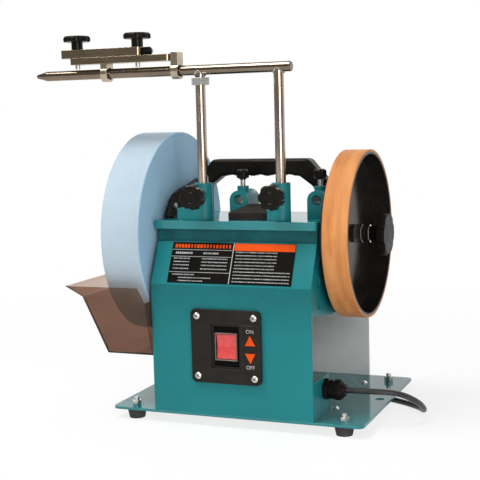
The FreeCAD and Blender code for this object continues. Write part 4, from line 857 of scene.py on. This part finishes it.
MARK_X, ARROW_HALF = 184.7, 6.4
flat_shape("switch_arrows", [
    [(MARK_X - ARROW_HALF, 88.5), (MARK_X + ARROW_HALF, 88.5), (MARK_X, 100.5)],
    [(MARK_X - ARROW_HALF, 79.5), (MARK_X, 67.5), (MARK_X + ARROW_HALF, 79.5)]], orange)


def switch_word(name, word, z):
    """A plain word on the raised strip, made a mesh before it is put in place."""
    letters = bpy.data.curves.new(name, "FONT")
    letters.body = word
    letters.size = 0.0062
    letters.extrude = 0.0001
    letters.align_x = "CENTER"
    letters.align_y = "CENTER"
    writer = bpy.data.objects.new(name + "_writer", letters)
    scene.collection.objects.link(writer)
    grown = writer.evaluated_get(bpy.context.evaluated_depsgraph_get())
    mesh = bpy.data.meshes.new_from_object(grown)
    bpy.data.objects.remove(writer)
    upright = Matrix.Rotation(math.radians(90), 4, "X")
    mesh.transform(Matrix.Translation(bench_point(MARK_X, LEGEND_Y, z)) @ upright)
    bm = bmesh.new()
    bm.from_mesh(mesh)
    bmesh.ops.remove_doubles(bm, verts=bm.verts, dist=0.000001)
    keep_mesh(name, bm, pale, "frame")


switch_word("switch_word_on", "ON", 105)
switch_word("switch_word_off", "OFF", 63)

# %% [markdown]
# The rocker sits in a brown bezel. A frame with two outlines, one inside the other, is bridged into a ring,
# and a Bevel modifier rounds its corners.

# %% Rocker bezel
bm = bmesh.new()
loops = []
OUTER, INNER, DEEP, PROUD = (13.9, 16.4), (12.6, 15.1), -1.6, -3.4
for (half_w, half_h), y in ((OUTER, DEEP), (OUTER, PROUD), (INNER, PROUD), (INNER, DEEP)):
    loops.append([bm.verts.new(bench_point(SWITCH_X + i * half_w, y, SWITCH_Z + k * half_h))
                  for i, k in ((-1, -1), (1, -1), (1, 1), (-1, 1))])
for a, b in zip(loops, loops[1:] + loops[:1]):
    for i in range(len(a)):
        k = (i + 1) % len(a)
        bm.faces.new((a[i], a[k], b[k], b[i]))
bezel_brown = moulded("bezel_brown", (0.19, 0.13, 0.105), 0.25, 0.4)
bezel = keep_mesh("rocker_bezel", bm, bezel_brown, "frame")
soften = bezel.modifiers.new("soft corners", "BEVEL")
soften.width = 0.0005
soften.segments = 2

# %% [markdown]
# ## Weld beads
# Each leg is welded to the bar. The seam of two equal tubes rises and falls round the leg, and the bead is a
# row of overlapping drops along it.

# %% Weld beads under the bar
DROPS, SEAM, SAG = 26, 6.1, 0.4
DROP_RADIUS, UNEVEN = 0.0012, 0.0002
for side, x in zip(("left", "right"), POST_X):
    bm = bmesh.new()
    for i in range(DROPS):
        t = 2 * math.pi * i / DROPS
        z = BAR_Z - SEAM * abs(math.cos(t)) - SAG
        drop_at = bench_point(x + SEAM * math.cos(t), POST_Y + SEAM * math.sin(t), z)
        bmesh.ops.create_icosphere(bm, subdivisions=1, radius=DROP_RADIUS + UNEVEN * math.sin(5 * t),
                                   matrix=Matrix.Translation(drop_at))
    for face in bm.faces:
        face.smooth = True
    keep_mesh("weld_bead_" + side, bm, thread_steel, "support")

# %% [markdown]
# ## Floor and light
# The machine stands on a plain pale floor before a white backdrop. Both show white to the camera, and the
# backdrop also in reflections, while the room on the camera's side is darker, as a studio is: that keeps black
# plastic black and gives plated steel its dark lines. One large soft lamp at the front left above and a weaker
# one at the right give the folds their shape, and a third keeps the back from going dark.

# %% Studio
bm = bmesh.new()
bmesh.ops.create_grid(bm, x_segments=1, y_segments=1, size=6)
floor_mesh = bpy.data.meshes.new("floor")
bm.to_mesh(floor_mesh)
bm.free()
floor = bpy.data.objects.new("floor", floor_mesh)
scene.collection.objects.link(floor)


def seen_rays(tree):
    """1 for what the camera, a reflection or a see-through part looks at."""
    path = tree.nodes.new("ShaderNodeLightPath")
    seen = sums(tree, "MAXIMUM", path.outputs["Is Camera Ray"], path.outputs["Is Glossy Ray"])
    return sums(tree, "MAXIMUM", seen, path.outputs["Is Transmission Ray"])


white, tree, shader, place = new_finish("floor_white", 0.9)
scuffs = noise(tree, place, 3, 2)
colour(tree, shader, ramp(tree, scuffs, [(0.3, (0.86, 0.86, 0.86)), (0.7, (0.88, 0.88, 0.88))]))
reach = tree.nodes.new("ShaderNodeVectorMath")
reach.operation = "LENGTH"
tree.links.new(place, reach.inputs[0])
glow_share = spread(tree, reach.outputs["Value"], 0.80, 1.0, 0.35, 1.0)
glow = tree.nodes.new("ShaderNodeEmission")
blend = tree.nodes.new("ShaderNodeMixShader")
tree.links.new(sums(tree, "MULTIPLY", seen_rays(tree), glow_share), blend.inputs[0])
tree.links.new(shader.outputs["BSDF"], blend.inputs[1])
tree.links.new(glow.outputs["Emission"], blend.inputs[2])
tree.links.new(blend.outputs["Shader"], tree.nodes["Material Output"].inputs["Surface"])
floor_mesh.materials.append(white)

ROOM_LIGHT, DARK_SIDE = 0.29, 0.26
world = bpy.data.worlds.new("studio")
world.use_nodes = True
tree = world.node_tree
sky = tree.nodes["Background"]
sky.inputs["Color"].default_value = (1, 1, 1, 1)
heading = parts_of(tree, tree.nodes.new("ShaderNodeTexCoord").outputs["Generated"])
room = spread(tree, heading[1], DARK_SIDE, 1.0, 0.0, 0.55)
path = tree.nodes.new("ShaderNodeLightPath")
backdrop = sums(tree, "MAXIMUM", room, sums(tree, "MAXIMUM", path.outputs["Is Camera Ray"],
                                            path.outputs["Is Transmission Ray"]))
level = tree.nodes.new("ShaderNodeMix")
tree.links.new(seen_rays(tree), level.inputs[0])
level.inputs[2].default_value = ROOM_LIGHT
tree.links.new(backdrop, level.inputs[3])
tree.links.new(level.outputs[0], sky.inputs["Strength"])
scene.world = world


def lamp(name, spot, target, width, power):
    light = bpy.data.lights.new(name, "AREA")
    light.size = width
    light.energy = power
    thing = bpy.data.objects.new(name, light)
    thing.location = spot
    thing.rotation_euler = (Vector(target) - Vector(spot)).to_track_quat("-Z", "Y").to_euler()
    scene.collection.objects.link(thing)


lamp("front_lamp", (-0.8, -0.85, 2.6), (0, 0, 0.2), 1.3, 68)
lamp("side_lamp", (1.4, -1.9, 0.7), (0, 0, 0.15), 1.0, 21)
lamp("back_lamp", (0.3, 2.2, 1.6), (0, 0, 0.15), 1.2, 7)
print("floor, surroundings and three lamps")
